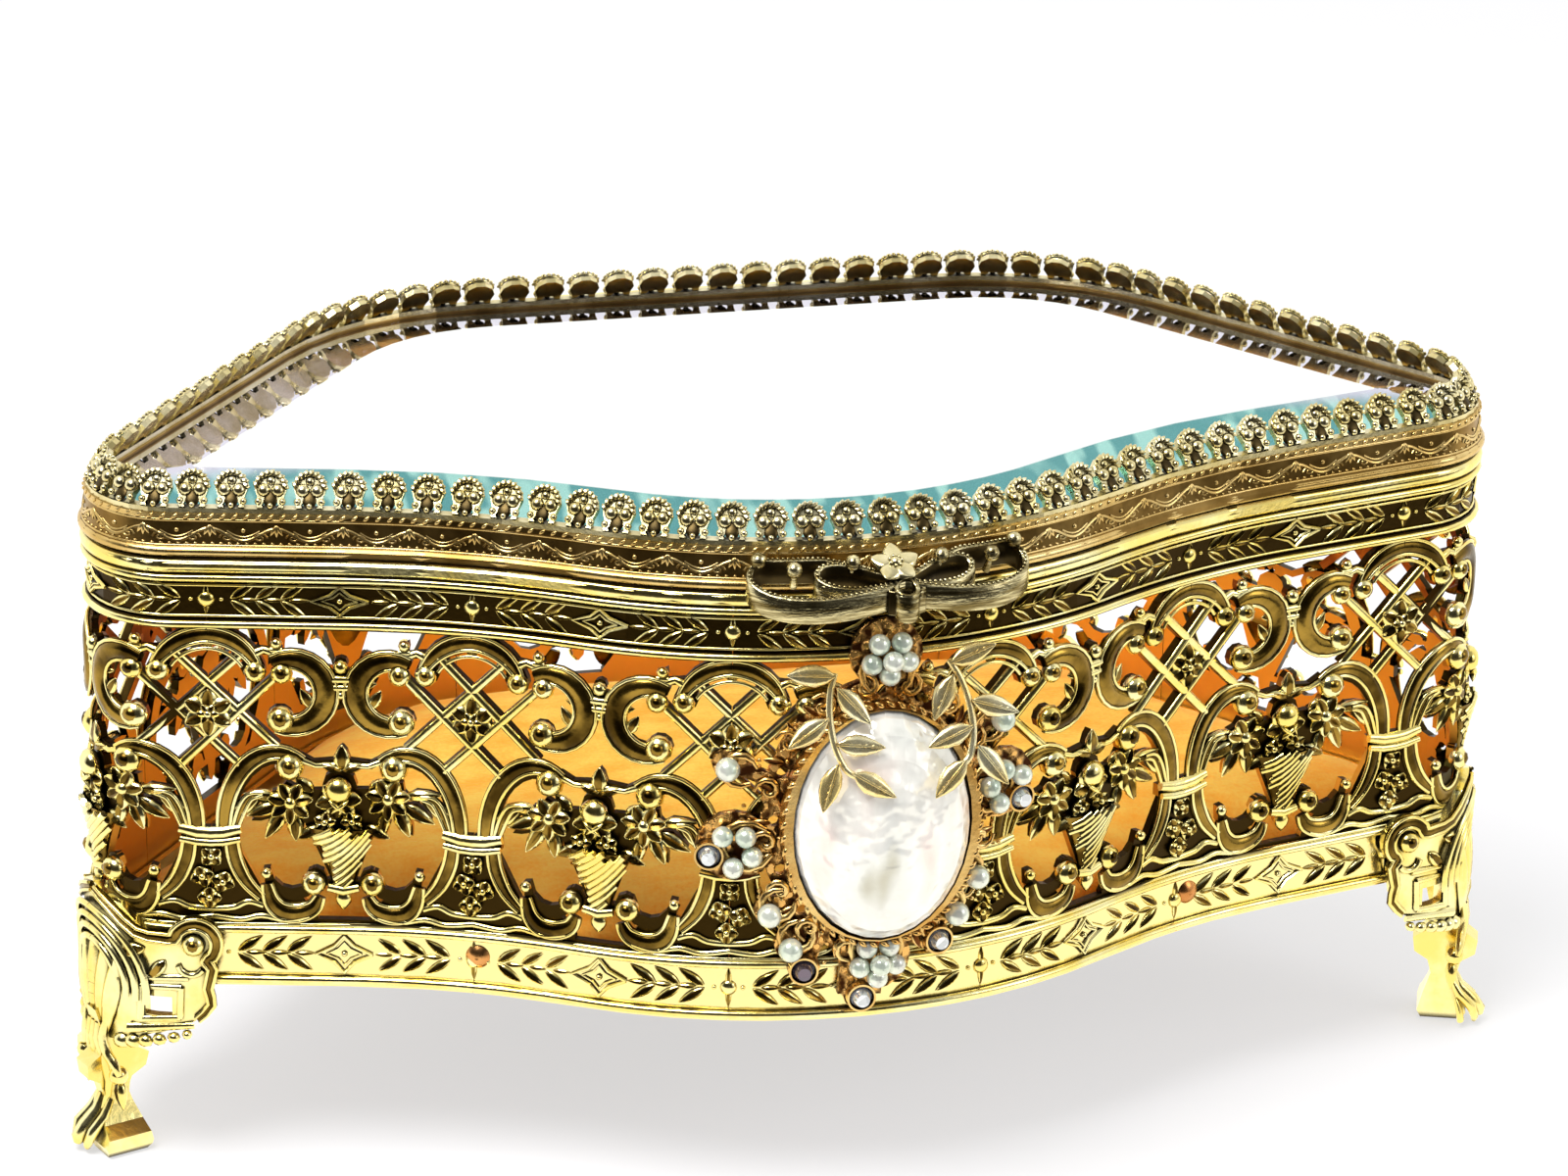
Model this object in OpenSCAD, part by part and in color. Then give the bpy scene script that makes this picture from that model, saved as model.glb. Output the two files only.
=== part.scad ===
// Glass-topped trinket casket: pierced gilt walls on four stamped feet, a hinged lid with a
// bevelled glass pane under a scalloped gallery, a ribbon thumb lift and a cabochon brooch.
// Plan curve: +X to the right, the bowed front faces -Y, the hinge is on the straight back.
// Lengths along the wall are counted from the middle of the front, positive to the right.

/* [Plan] */
// Width of the wall at its widest, over the front corners
box_w = 176; // [168:1:196]
// Depth of the wall from the bow to the straight back
box_d = 92.5; // [88:0.5:106]
// Radius of the bow in the middle of the front
bow_r = 62; // [58:1:66]
// Turn of the bow on each side of the middle
bow_deg = 32; // [29:0.5:33]
// Radius of the hollow curve beside the bow
flank_r = 90; // [84:1:94]
// Turn of the hollow curve
flank_deg = 18.5; // [17:0.5:21]
// Radius of the front corners
corner_r = 11; // [9:0.5:13]
// Angle of each end wall from the straight front-to-back line
end_deg = 37; // [34:0.5:40]
// Radius of the back corners
back_r = 35; // [30:1:38]

/* [Wall] */
// Clear height under the wall
wall_z = 24.5; // [23:0.5:27]
// Thickness of the stamped sheet
sheet_t = 1; // [0.8:0.1:1.2]
// Height of the plain band under the openwork
low_band_h = 8.4; // [7.5:0.1:10]
// Height of the openwork
open_h = 38.9; // [38.9:0.1:46]
// Height of the band over the openwork
top_band_h = 6.9; // [6:0.1:8.5]
// Height of the raised rails along both edges of a band
rail_h = 1; // [0.7:0.1:1.3]
// How far the rails stand out of the sheet
rail_out = 0.5; // [0.3:0.1:0.7]
// Width of one basket panel on the front
front_pitch = 32; // [31:0.25:33]
// Width of the lattice bars
bar_w = 1.1; // [0.9:0.1:1.4]
// Height of the rolled rim on the wall
rim_h = 1.9; // [1.6:0.1:2.4]
// How far the rolled rim stands out of the wall
rim_out = 0.9; // [0.6:0.1:1.1]

/* [Base and pad] */
// Thickness of the base pan's sheet
pan_t = 0.8; // [0.6:0.1:1.2]
// Height of the pan's lip behind the lower band
pan_lip_h = 5.4; // [4.8:0.1:6.4]
// Thickness of the cloth under the base
cloth_t = 0.5; // [0.3:0.1:0.8]
// Thickness of the card under the velvet
card_t = 1.4; // [1:0.1:2]
// Height of the velvet pad at its edge seam
pad_edge_h = 5.2; // [4:0.2:7]
// Extra height of the pad's crown
pad_crown = 3.4; // [2:0.2:5]
// Diameter of the dome rivets that hold the pan
rivet_d = 3; // [2.4:0.1:3.2]

/* [Lid] */
// Gap between the closed lid and the rolled rim
lid_gap = 0.4; // [0.3:0.05:0.8]
// Height of the bright lip along the lid's lower edge
lip_h = 1.2; // [0.9:0.1:1.5]
// How far the lip stands out of the wall line
lip_out = 1.1; // [0.9:0.1:1.3]
// Height of the engraved band of the lid
lid_band_h = 4; // [3.4:0.1:5]
// Thickness of the glass at its edge
glass_edge_t = 1.5; // [1.2:0.1:2]
// Thickness of the glass inside its bevel
glass_t = 3.2; // [2.6:0.1:4]
// Width of the bevel
bevel_w = 10.5; // [8:0.5:12]
// Width of the ledge that carries the glass
ledge_w = 2.2; // [1.8:0.1:3]
// Number of gallery scallops on each half of the lid
scallops = 46; // [42:1:48]
// Width of a scallop
scallop_w = 3.9; // [3.2:0.1:4.2]
// Length of a scallop from the frame to its tip
scallop_l = 4.4; // [3.8:0.1:5]
// Lean of the scallops over the glass
scallop_lean = 35; // [25:1:40]

/* [Hinge] */
// Length of the hinge
hinge_w = 40; // [34:1:46]
// Radius of the hinge barrel
barrel_r = 1.4; // [1.2:0.1:1.5]
// Radius of the hinge pin
pin_r = 0.6; // [0.5:0.05:0.75]
// Thickness of the hinge leaves
leaf_t = 0.8; // [0.6:0.1:0.9]
// Height of each hinge leaf
leaf_h = 4.2; // [3.4:0.1:4.6]

/* [Feet] */
// Reach of each foot's wing along the wall
wing_w = 16.4; // [15:0.2:18]
// Height of the foot's crest above the lower edge of the wall
crest_h = 11.5; // [10:0.5:13]
// Depth of the wings below the lower edge of the wall
wing_drop = 6.6; // [6:0.2:8]
// Thickness of the foot's stamped sheet
foot_t = 1.2; // [1:0.1:1.5]
// Width of the leg
leg_w = 6.4; // [5.4:0.2:8]
// How far the toe reaches out of the wall line
toe_out = 4.6; // [4:0.1:5.4]

/* [Thumb lift] */
// Width of the ribbon bow
bow_w = 34; // [30:0.5:38]
// Height of each ribbon loop
bow_h = 7.6; // [6.5:0.1:8.5]
// How far the bow stands out of the lid's lip
bow_out = 5.6; // [4.6:0.1:6.6]
// Sideways place of the bow
bow_x = 0.75; // [0:0.25:1.5]
// Width of the ribbon that is bent into each loop
ribbon_w = 1.5; // [1.2:0.1:1.7]

/* [Brooch] */
// Height of the cabochon
cab_h = 30; // [27:0.5:31]
// Width of the cabochon
cab_w = 22; // [20:0.5:24]
// Rise of the cabochon's dome
cab_rise = 6.4; // [5.4:0.1:7.5]
// Height of the cabochon's centre above the lower edge of the wall
cab_z = 26.8; // [25.6:0.2:28]
// Sideways place of the brooch
brooch_x = 1.5; // [0:0.25:2]
// Thickness of the brooch's openwork plate
plate_t = 0.9; // [0.7:0.1:1.2]
// Diameter of the pearls that stand alone
pearl_d = 3; // [2.6:0.1:3.1]
// Diameter of the pearls in the clusters
cluster_d = 2.6; // [2.3:0.1:2.7]
// Diameter of the cut stones
stone_d = 3; // [2.6:0.1:3.2]
// Length of the leaves of the sprays
leaf_l = 6; // [5.4:0.1:6.4]
// Width of the leaves of the sprays
leaf_w = 2.7; // [2.4:0.1:3]

/* [Fits] */
// Clearance between pieces that are laid in by hand
lay_gap = 0.3; // [0.2:0.05:0.4]
// Clearance between metal pieces soldered or clamped together
seat_gap = 0.05; // [0.02:0.01:0.1]
// Open seam between the wall's stamped panels
seam_gap = 0.1; // [0.05:0.01:0.15]
// Radial clearance of the hinge pin
pin_gap = 0.05; // [0.03:0.01:0.08]

/* [Hidden] */

// The plan's runs as [radius, turn], positive to the left, or [0, length] for a straight one.
least_r = 0.4;
exit_deg = bow_deg - flank_deg;
corner_deg = 90 + end_deg - exit_deg;
back_deg = 90 - end_deg;
reach_x = bow_r * sin(bow_deg) + flank_r * (sin(bow_deg) - sin(exit_deg)) + corner_r * (1 - sin(exit_deg));
flank_len = (box_w / 2 - reach_x) / cos(exit_deg);
reach_bow = bow_r * (1 - cos(bow_deg)) + flank_r * (cos(exit_deg) - cos(bow_deg)) + flank_len * sin(exit_deg);
reach_end = corner_r * (cos(exit_deg) + sin(end_deg)) + back_r * (1 - sin(end_deg));
end_len = (box_d - reach_bow - reach_end) / cos(end_deg);
steps = [6, 3, 1, 9, 1, 6, 1];

function straight(run) = run[0] == 0;
function turn(run) = straight(run) ? 0 : sign(run[0]) * run[1];
function span(run) = straight(run) ? run[1] : abs(run[0]) * run[1] * PI / 180;
function advance(p, run, u) =
    straight(run)
    ? [p.x + run[1] * u * cos(p.z), p.y + run[1] * u * sin(p.z), p.z]
    : let (h = p.z + turn(run) * u)
      [p.x + run[0] * (sin(h) - sin(p.z)), p.y - run[0] * (cos(h) - cos(p.z)), h];
function sharper(d) = (max(corner_r - d, least_r) - (corner_r - d)) * tan(corner_deg / 2);
function curved_runs(d) = [
    [bow_r - d, bow_deg], [-(flank_r + d), flank_deg], [0, flank_len - sharper(d)],
    [max(corner_r - d, least_r), corner_deg], [0, end_len - sharper(d)], [back_r - d, back_deg]
];
function march(p, runs, i = 0) = i == len(runs) ? [p] : concat([p], march(advance(p, runs[i], 1), runs, i + 1));
function start_at(d) = [0, d - box_d / 2, 0];
function last_x(d) = march(start_at(d), curved_runs(d))[6].x;
function runs_at(d) = concat(curved_runs(d), [[0, last_x(d)]]);

runs = runs_at(0);
marks = march(start_at(0), runs);
function total(runs, n, i = 0) = i >= n ? 0 : span(runs[i]) + total(runs, n, i + 1);
cum = [for (i = [0:7]) total(runs, i)];
half_len = cum[7];
breaks_right = [for (i = [0:6]) for (k = [1:steps[i]]) cum[i] + span(runs[i]) * k / steps[i]];
breaks = concat([for (i = [len(breaks_right) - 1:-1:0]) -breaks_right[i]], [0], breaks_right);

// Place [x, y, heading] at a length along the wall, and a point moved out of it by a distance.
function run_of(s) = max([for (i = [0:6]) if (cum[i] <= s + 0.000001) i]);
function along(s) = let (i = run_of(s)) advance(marks[i], runs[i], (s - cum[i]) / span(runs[i]));
function at(s) = s >= 0 ? along(s) : let (p = along(-s)) [-p.x, p.y, -p.z];
function out(s, d) = let (p = at(s)) [p.x + d * sin(p.z), p.y - d * cos(p.z)];

// The whole outline, moved in by a distance: the right half, then the left half back to the front.
function half_ring(d) = let (r = runs_at(d), m = march(start_at(d), r))
    concat([m[0]], [for (i = [0:6]) for (k = [1:steps[i]]) advance(m[i], r[i], k / steps[i])]);
function ring(d) = let (h = half_ring(d), n = len(h) - 1)
    concat([for (p = h) [p.x, p.y]], [for (i = [n - 1:-1:1]) [-h[i].x, h[i].y]]);
function lifted(points, z) = [for (p = points) [p.x, p.y, z]];
function flat(lists) = [for (l = lists) each l];

// Closed ring of a constant profile, given as [distance out of the wall, height] points.
module moulding(profile) {
    n = len(ring(0));
    m = len(profile);
    points = flat([for (q = profile) lifted(ring(-q[0]), q[1])]);
    faces = [for (j = [0:m - 1]) for (i = [0:n - 1]) let (k = (j + 1) % m, l = (i + 1) % n)
        [j * n + i, j * n + l, k * n + l, k * n + i]];
    polyhedron(points, faces);
}

// Solid between rings of equal point counts, listed from the bottom to the top.
module loft(rings) {
    n = len(rings[0]);
    m = len(rings);
    sides = [for (j = [0:m - 2]) for (i = [0:n - 1]) let (l = (i + 1) % n)
        [j * n + i, (j + 1) * n + i, (j + 1) * n + l, j * n + l]];
    caps = [[for (i = [0:n - 1]) i], [for (i = [n - 1:-1:0]) (m - 1) * n + i]];
    polyhedron(flat(rings), concat(sides, caps));
}

// Flat plate of the outline, moved in by a distance.
module plan_plate(d, z, t) {
    translate([0, 0, z])
        linear_extrude(t)
            polygon(ring(d));
}

// Bent strip of the wall between two lengths and two distances out of it.
function strip(a, b, d0, d1) = let (s = concat([a], [for (k = breaks) if (k > a + 0.3 && k < b - 0.3) k], [b]))
    concat([for (v = s) out(v, d0)], [for (i = [len(s) - 1:-1:0]) out(s[i], d1)]);
module wall_strip(a, b, d0, d1, z, h) {
    translate([0, 0, z])
        linear_extrude(h)
            polygon(strip(a, b, d0, d1));
}

// Puts a flat pattern, drawn as [along the wall, up], through the wall at a length.
module through_wall(s, z, depth) {
    p = at(s);
    translate([p.x, p.y, z])
        rotate([90, 0, p.z])
            translate([0, 0, -depth / 2])
                linear_extrude(depth)
                    children();
}

// Puts a solid, drawn with its back on the XY plane and Y up, on the outside of the wall.
module on_wall(s, d, z) {
    p = at(s);
    translate([p.x + d * sin(p.z), p.y - d * cos(p.z), z])
        rotate([90, 0, p.z])
            children();
}

// Flat strokes of the openwork.
function ribbon(points, widths) = let (
    n = len(points) - 1,
    side = [for (i = [0:n]) let (t = points[min(i + 1, n)] - points[max(i - 1, 0)]) [-t.y, t.x] / norm(t)])
    concat([for (i = [0:n]) points[i] + side[i] * widths[i] / 2],
           [for (i = [n:-1:0]) points[i] - side[i] * widths[i] / 2]);
function sweep_of(centre, rx, ry, a, b, n) =
    [for (i = [0:n]) let (t = a + (b - a) * i / n) [centre.x + rx * cos(t), centre.y + ry * sin(t)]];
function swelling(ends, middle, n) = [for (i = [0:n]) ends + (middle - ends) * sin(180 * i / n)];
module bar(a, b, w) {
    polygon(ribbon([a, b], [w, w]));
}
module leaf(base, angle, length, width) {
    translate(base)
        rotate(angle)
            polygon([[0, 0], [0.35 * length, -width / 2], [0.75 * length, -0.3 * width], [length, 0],
                     [0.75 * length, 0.3 * width], [0.35 * length, width / 2]]);
}
module rosette(centre, r, petals) {
    notch = 0.76;
    translate(centre)
        polygon([for (i = [0:2 * petals - 1]) let (a = 180 * i / petals, q = i % 2 == 0 ? r : r * notch)
            [q * cos(a), q * sin(a)]]);
}

// One panel of the openwork as its metal, with the basket in the middle and half a collar at each
// side. The drawing is 32 wide and 38.9 high, and is stretched to the panel.
drawn_w = 32;
drawn_h = 38.9;
module half_motif() {
    collar = drawn_w / 2;
    polygon(ribbon(sweep_of([5.9, 30.6], 4.2, 4.2, 72, 305, 8), swelling(0.9, 2.1, 8)));
    translate([7.4, 34.7]) circle(1.25, $fn = 8);
    translate([7.4, 27]) circle(1.6, $fn = 10);
    leaf([7.2, 35], 66, 2.6, 1.3);
    bar([7.9, 35.5], [10.4, 35.8], 0.8);
    intersection() {
        difference() {
            translate([collar, 31.9]) circle(7.2, $fn = 22);
            translate([collar, 31.3]) circle(5.2, $fn = 18);
        }
        translate([collar - 8, 33.2]) square([8, 6]);
    }
    translate([collar - 5.4, 33.6]) circle(1.5, $fn = 8);
    for (side = [-1, 1]) {
        bar([collar - side * 8.2, 23.3], [collar + side * 4.2, 35.7], bar_w);
        bar([collar - side * 8.4, 32.7], [collar + side * 4, 20.3], bar_w);
    }
    rosette([collar, 27.9], 2.6, 7);
    polygon(ribbon(sweep_of([7.9, 12.4], 6, 9.4, -6, 112, 8), swelling(1.3, 1.9, 8)));
    translate([6.2, 20.4]) circle(1.4, $fn = 8);
    bar([5.3, 22], [3.3, 20.9], 0.9);
    bar([3.5, 21], [0.6, 21.3], 0.9);
    leaf([13.3, 14.6], 152, 4.4, 1.9);
    translate([collar - 3.5, 10.9]) square([4, 1.6]);
    polygon([[collar + 0.5, 11.6], [collar - 2.6, 11.4], [9.6, 3.8], [7.6, 3.4], [5, 3.4], [3.1, 0.7], [3.1, -0.5],
             [collar + 0.5, -0.5]]);
    polygon(ribbon(sweep_of([6.3, 6.9], 3, 3.3, 365, 175, 6), swelling(0.9, 1.7, 6)));
    translate([3.3, 6]) circle(1.35, $fn = 8);
}
module middle_motif() {
    translate([0, 34.2]) circle(0.9, $fn = 8);
    translate([-0.95, 30.9]) square([1.9, 2.6]);
    leaf([0, 20.6], 90, 3, 2);
    leaf([0.6, 20.4], 20, 2.8, 1.3);
    leaf([-0.6, 20.4], 160, 2.8, 1.3);
    translate([-0.3, 18.3]) circle(2.1, $fn = 10);
    rosette([-6.2, 16.2], 2.6, 7);
    rosette([5.8, 16.9], 2.6, 7);
    polygon([[-4.6, 17.6], [4.4, 18], [5.2, 14.4], [4.2, 13.2], [1.5, 5.6], [-1.4, 5.6], [-4.6, 13.2], [-5.4, 14.2]]);
    leaf([-7, 15], -118, 4.2, 1.9);
    leaf([-7.6, 15.4], -150, 4, 1.9);
    leaf([-5.6, 14.6], -84, 3.6, 1.7);
    leaf([6.6, 15.6], -62, 4.2, 1.9);
    leaf([7.4, 16], -28, 4, 1.9);
    leaf([5.2, 14.8], -96, 3.4, 1.7);
    leaf([7.6, 17], 6, 4.2, 1.5);
    leaf([-8, 16.4], 176, 4, 1.5);
    translate([-2.6, 4.9]) square([5.2, 0.9]);
    polygon([[-1, 5.2], [1, 5.2], [0.7, 3.1], [0, 2.3], [-0.7, 3.1]]);
}
module panel_metal() {
    half_motif();
    mirror([1, 0]) half_motif();
    middle_motif();
}
module panel_openings(w) {
    edge = 0.4;
    offset(delta = 0.01)
        difference() {
            translate([-w / 2 - 1, edge]) square([w + 2, open_h - 2 * edge]);
            scale([w / drawn_w, open_h / drawn_h]) panel_metal();
        }
}

// Thirteen stamped panels make the wall: five on the front, four on each side round to the back seam.
side_panels = 4;
side_pitch = (half_len - 2.5 * front_pitch) / side_panels;
function panel_w(k) = abs(k) <= 2 ? front_pitch : side_pitch;
function panel_s(k) = abs(k) <= 2 ? k * front_pitch : sign(k) * (2.5 * front_pitch + (abs(k) - 2.5) * side_pitch);
function slices(k) = [2, 2, 2, 8, 1, 4, 1][abs(k)];
slice_lap = 0.2;
wall_top = wall_z + low_band_h + open_h + top_band_h;
module panel(k) {
    w = panel_w(k);
    a = panel_s(k) - w / 2 + seam_gap / 2;
    b = panel_s(k) + w / 2 - seam_gap / 2;
    n = slices(k);
    difference() {
        union() {
            wall_strip(a, b, -sheet_t, 0, wall_z, wall_top - wall_z);
            for (z = [wall_z, wall_z + low_band_h - rail_h, wall_top - top_band_h, wall_top - rail_h])
                wall_strip(a, b, -sheet_t / 2, rail_out, z, rail_h);
        }
        for (i = [0:n - 1]) {
            u0 = -w / 2 + w * i / n;
            um = u0 + w / n / 2;
            through_wall(panel_s(k) + um, wall_z + low_band_h, 6 * sheet_t)
                intersection() {
                    translate([-um, 0]) panel_openings(w);
                    translate([-w / n / 2 - slice_lap, 0]) square([w / n + 2 * slice_lap, open_h]);
                }
        }
    }
}
module wall_front() {
    color("gold") for (k = [-2:2]) panel(k);
}
module wall_left() {
    color("gold") for (k = [-4, -3]) panel(k);
}
module wall_right() {
    color("gold") for (k = [3, 4]) panel(k);
}
module wall_back() {
    color("gold") for (k = [-6, -5, 5, 6]) panel(k);
}

// Rolled rim on the top edge of the wall.
rim_in = sheet_t + 0.6;
rim_top = wall_top + rim_h;
module body_rim() {
    round_in = rim_h / 4;
    color("goldenrod")
        moulding([[-rim_in, wall_top], [rim_out - round_in, wall_top], [rim_out, wall_top + round_in],
                  [rim_out, rim_top - round_in], [rim_out - round_in, rim_top], [-rim_in, rim_top]]);
}

// Base: cloth, pan with its lip behind the lower band, card and velvet pad.
pan_in = sheet_t + lay_gap;
pan_z = wall_z + cloth_t;
card_z = pan_z + pan_t;
card_in = pan_in + pan_t + lay_gap;
pad_z = card_z + card_t;
module underside_cloth() {
    color("darkorange") plan_plate(pan_in, wall_z, cloth_t);
}
module base_pan() {
    color("gold")
        difference() {
            plan_plate(pan_in, pan_z, pan_lip_h);
            plan_plate(pan_in + pan_t, pan_z + pan_t, pan_lip_h);
        }
}
module pad_card() {
    color("tan") plan_plate(card_in, card_z, card_t);
}
pad_mid = [0, -box_d / 30];
function drawn_in(points, f) = [for (p = points) p + (pad_mid - [p.x, p.y]) * f];
module velvet_pad() {
    side = card_in + lay_gap;
    top = pad_z + pad_edge_h;
    rows = [[0.6, 0, 0], [0.1, 0, 0.35], [0, 0, 0.75], [0.4, 0, 1]];
    crown = [[0.05, 0.34], [0.15, 0.62], [0.35, 0.86], [0.65, 0.98]];
    rim = ring(side + 1);
    color("orange")
        loft(concat([for (r = rows) lifted(ring(side + r[0]), pad_z + pad_edge_h * r[2])],
                    [for (c = crown) lifted(drawn_in(rim, c[0]), top + pad_crown * c[1])]));
}

// Dome rivets through the lower band into the pan's lip.
rivet_s = [-47.5, 50, -128, 128, -186, 186];
rivet_z = pan_z + pan_lip_h - rivet_d / 2 + 0.4;
module pan_rivets() {
    color("peru")
        for (s = rivet_s)
            on_wall(s, seat_gap, rivet_z)
                intersection() {
                    translate([0, 0, 0.7 - 0.7 * rivet_d]) sphere(0.7 * rivet_d, $fn = 24);
                    cylinder(h = rivet_d, d = rivet_d, $fn = 24);
                }
}

// Foot: a wing shell bent round the corner and a leg with a kicked toe.
foot_front_s = (cum[3] + cum[4]) / 2;
foot_back_s = (cum[5] + cum[6]) / 2;
foot_d = rail_out + seat_gap;
crest_z = wall_z + crest_h;
module wing_outline() {
    low = wall_z - wing_drop;
    volute = 3.3;
    difference() {
        union() {
            for (side = [0, 1])
                mirror([side, 0]) {
                    polygon([[0, low - 2.4], [leg_w / 2, low - 2], [wing_w - 3.4, low + 2.2], [wing_w - 1.6, low + 5.4],
                             [wing_w - 1, low + 9], [wing_w - 2.6, low + 12.6], [wing_w - 6, low + 12],
                             [wing_w - 8.4, low + 13.6], [4.2, crest_z - 1.2], [0, crest_z]]);
                    translate([wing_w - volute, crest_z - 5.4]) circle(volute, $fn = 20);
                }
        }
        for (side = [-1, 1])
            translate([side * (wing_w / 2 + 0.6), wall_z - 2.6]) square([2.8, 2.6], center = true);
    }
}
module wing(s, n) {
    reach = wing_w + 0.2;
    for (i = [0:n - 1]) {
        u0 = -reach + 2 * reach * i / n;
        um = u0 + reach / n;
        intersection() {
            wall_strip(s + u0, s + u0 + 2 * reach / n, foot_d, foot_d + foot_t, 0, crest_z + 1);
            through_wall(s + um, 0, 8 * foot_t)
                offset(delta = 0.01)
                    translate([-um, 0]) wing_outline();
        }
    }
}
leg_top = wall_z - wing_drop + 1.6;
module leg() {
    waist = 0.42 * leg_top;
    intersection() {
        rotate([0, 0, 90])
            rotate([90, 0, 0])
                translate([0, 0, -leg_w])
                    linear_extrude(2 * leg_w)
                        polygon([[-0.6, leg_top], [foot_d + foot_t, leg_top], [foot_d + foot_t + 0.7, leg_top * 0.8],
                                 [foot_d + foot_t, leg_top * 0.6], [0.9, waist], [1.4, leg_top * 0.3],
                                 [2.9, leg_top * 0.2], [toe_out, 2.6], [toe_out, 0.9], [toe_out - 0.8, 0], [0.2, 0],
                                 [-0.7, 1.2], [-0.9, leg_top * 0.25], [-1.2, waist], [-1.3, leg_top * 0.7]]);
        rotate([90, 0, 0])
            translate([0, 0, -3 * toe_out])
                linear_extrude(6 * toe_out)
                    polygon([for (side = [1, -1]) for (q = side > 0 ? leg_front(1) : leg_back(-1)) q]);
    }
}
function leg_front(side) = [for (q = leg_half) [side * q[0], q[1]]];
function leg_back(side) = [for (i = [len(leg_half) - 1:-1:0]) [side * leg_half[i][0], leg_half[i][1]]];
leg_half = [[leg_w * 0.42, 0], [leg_w * 0.5, 1.4], [leg_w * 0.4, 4], [leg_w * 0.26, leg_top * 0.36],
            [leg_w * 0.34, leg_top * 0.46], [leg_w * 0.62, leg_top * 0.52], [leg_w * 0.66, leg_top * 0.62],
            [leg_w * 0.4, leg_top * 0.68], [leg_w * 0.34, leg_top * 0.84], [leg_w * 0.46, leg_top]];
module foot(s) {
    p = at(s);
    color("gold")
        union() {
            wing(s, 8);
            translate([p.x, p.y, 0])
                rotate([0, 0, p.z - 90])
                    leg();
        }
}
module foot_front_left() {
    foot(-foot_front_s);
}
module foot_front_right() {
    foot(foot_front_s);
}
module foot_back_left() {
    foot(-foot_back_s);
}
module foot_back_right() {
    foot(foot_back_s);
}

// Lid: a moulded frame with a ledge for the glass, the gallery and the bevelled pane.
lid_z = rim_top + lid_gap;
band_z = lid_z + lip_h;
frame_top = band_z + lid_band_h;
rebate = 1.6;
ledge_z = frame_top - glass_edge_t - 0.3;
skirt_in = rebate + 0.2;
module lid_frame() {
    lip_in = lip_out - 0.6;
    color("darkgoldenrod")
        moulding([[-skirt_in, lid_z], [lip_out - 0.3, lid_z], [lip_out, lid_z + 0.3], [lip_out, band_z - 0.3],
                  [lip_out - 0.3, band_z], [lip_in, band_z + 0.2], [lip_in - 0.4, frame_top - 0.9],
                  [lip_in - 0.2, frame_top - 0.6], [lip_in - 0.3, frame_top], [-rebate, frame_top],
                  [-rebate, ledge_z], [-rebate - ledge_w, ledge_z], [-rebate - ledge_w, ledge_z - 0.8],
                  [-skirt_in, ledge_z - 1.1]]);
}
module lid_glass() {
    edge = rebate + seat_gap;
    color("azure", 0.4)
        loft([lifted(ring(edge), ledge_z), lifted(ring(edge), ledge_z + glass_edge_t),
              lifted(ring(edge + bevel_w), ledge_z + glass_t)]);
}

// Gallery: a low ring with scallops that lean over the edge of the glass, each with an arched foot.
gallery_out = lip_out - 1;
gallery_in = rebate - 0.3;
gallery_h = 0.7;
scallop_t = 0.9;
module scallop() {
    r = scallop_w / 2;
    arch = 0.27 * scallop_w;
    linear_extrude(scallop_t)
        offset(delta = 0.01)
            difference() {
                union() {
                    translate([-r * 0.8, 0]) square([r * 1.6, scallop_l - r]);
                    translate([0, scallop_l - r]) circle(r, $fn = 10);
                }
                translate([0, 0.3]) circle(arch, $fn = 6);
            }
}
module lid_gallery() {
    pitch = half_len / scallops;
    color("darkkhaki")
        union() {
            translate([0, 0, frame_top])
                linear_extrude(gallery_h)
                    difference() {
                        polygon(ring(-gallery_out));
                        polygon(ring(gallery_in));
                    }
            for (side = [-1, 1])
                for (i = [0:scallops - 1])
                    on_wall(side * (i + 0.5) * pitch, -0.9, frame_top + 0.3)
                        rotate([-scallop_lean, 0, 0])
                            scallop();
        }
}

// Hinge on the straight back, with five knuckles on one pin.
axis_out = lip_out + 0.4 + barrel_r;
axis_y = box_d / 2 + axis_out;
axis_z = rim_top + lid_gap / 2;
knuckle_w = hinge_w / 5;
module knuckles(which, web) {
    for (i = which)
        difference() {
            union() {
                translate([-hinge_w / 2 + i * knuckle_w + lay_gap / 2, axis_y, axis_z])
                    rotate([0, 90, 0])
                        cylinder(h = knuckle_w - lay_gap, r = barrel_r, $fn = 32);
                translate([-hinge_w / 2 + i * knuckle_w + lay_gap / 2, 0, 0])
                    rotate([90, 0, 90])
                        linear_extrude(knuckle_w - lay_gap)
                            polygon(web);
            }
            translate([-hinge_w / 2 + i * knuckle_w - 1, axis_y, axis_z])
                rotate([0, 90, 0])
                    cylinder(h = knuckle_w + 2, r = pin_r + pin_gap, $fn = 32);
        }
}
module hinge_body_leaf() {
    y0 = box_d / 2 + rim_out + seat_gap;
    top = axis_z - barrel_r;
    color("goldenrod")
        union() {
            translate([-hinge_w / 2, y0, top - leaf_h]) cube([hinge_w, leaf_t, leaf_h]);
            knuckles([0, 2, 4], [[y0, top - 1], [y0 + leaf_t, top - 1], [axis_y + barrel_r, axis_z],
                                 [axis_y, axis_z], [axis_y - barrel_r * 0.9, axis_z - 0.2], [y0, top]]);
        }
}
module hinge_lid_leaf() {
    y0 = box_d / 2 + lip_out + seat_gap;
    foot = axis_z + barrel_r;
    color("goldenrod")
        union() {
            translate([-hinge_w / 2, y0, foot]) cube([hinge_w, leaf_t, leaf_h]);
            knuckles([1, 3], [[y0, foot + 1], [y0 + leaf_t, foot + 1], [axis_y + barrel_r, axis_z],
                              [axis_y, axis_z], [axis_y - barrel_r, axis_z + 0.2], [y0, foot]]);
        }
}
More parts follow.
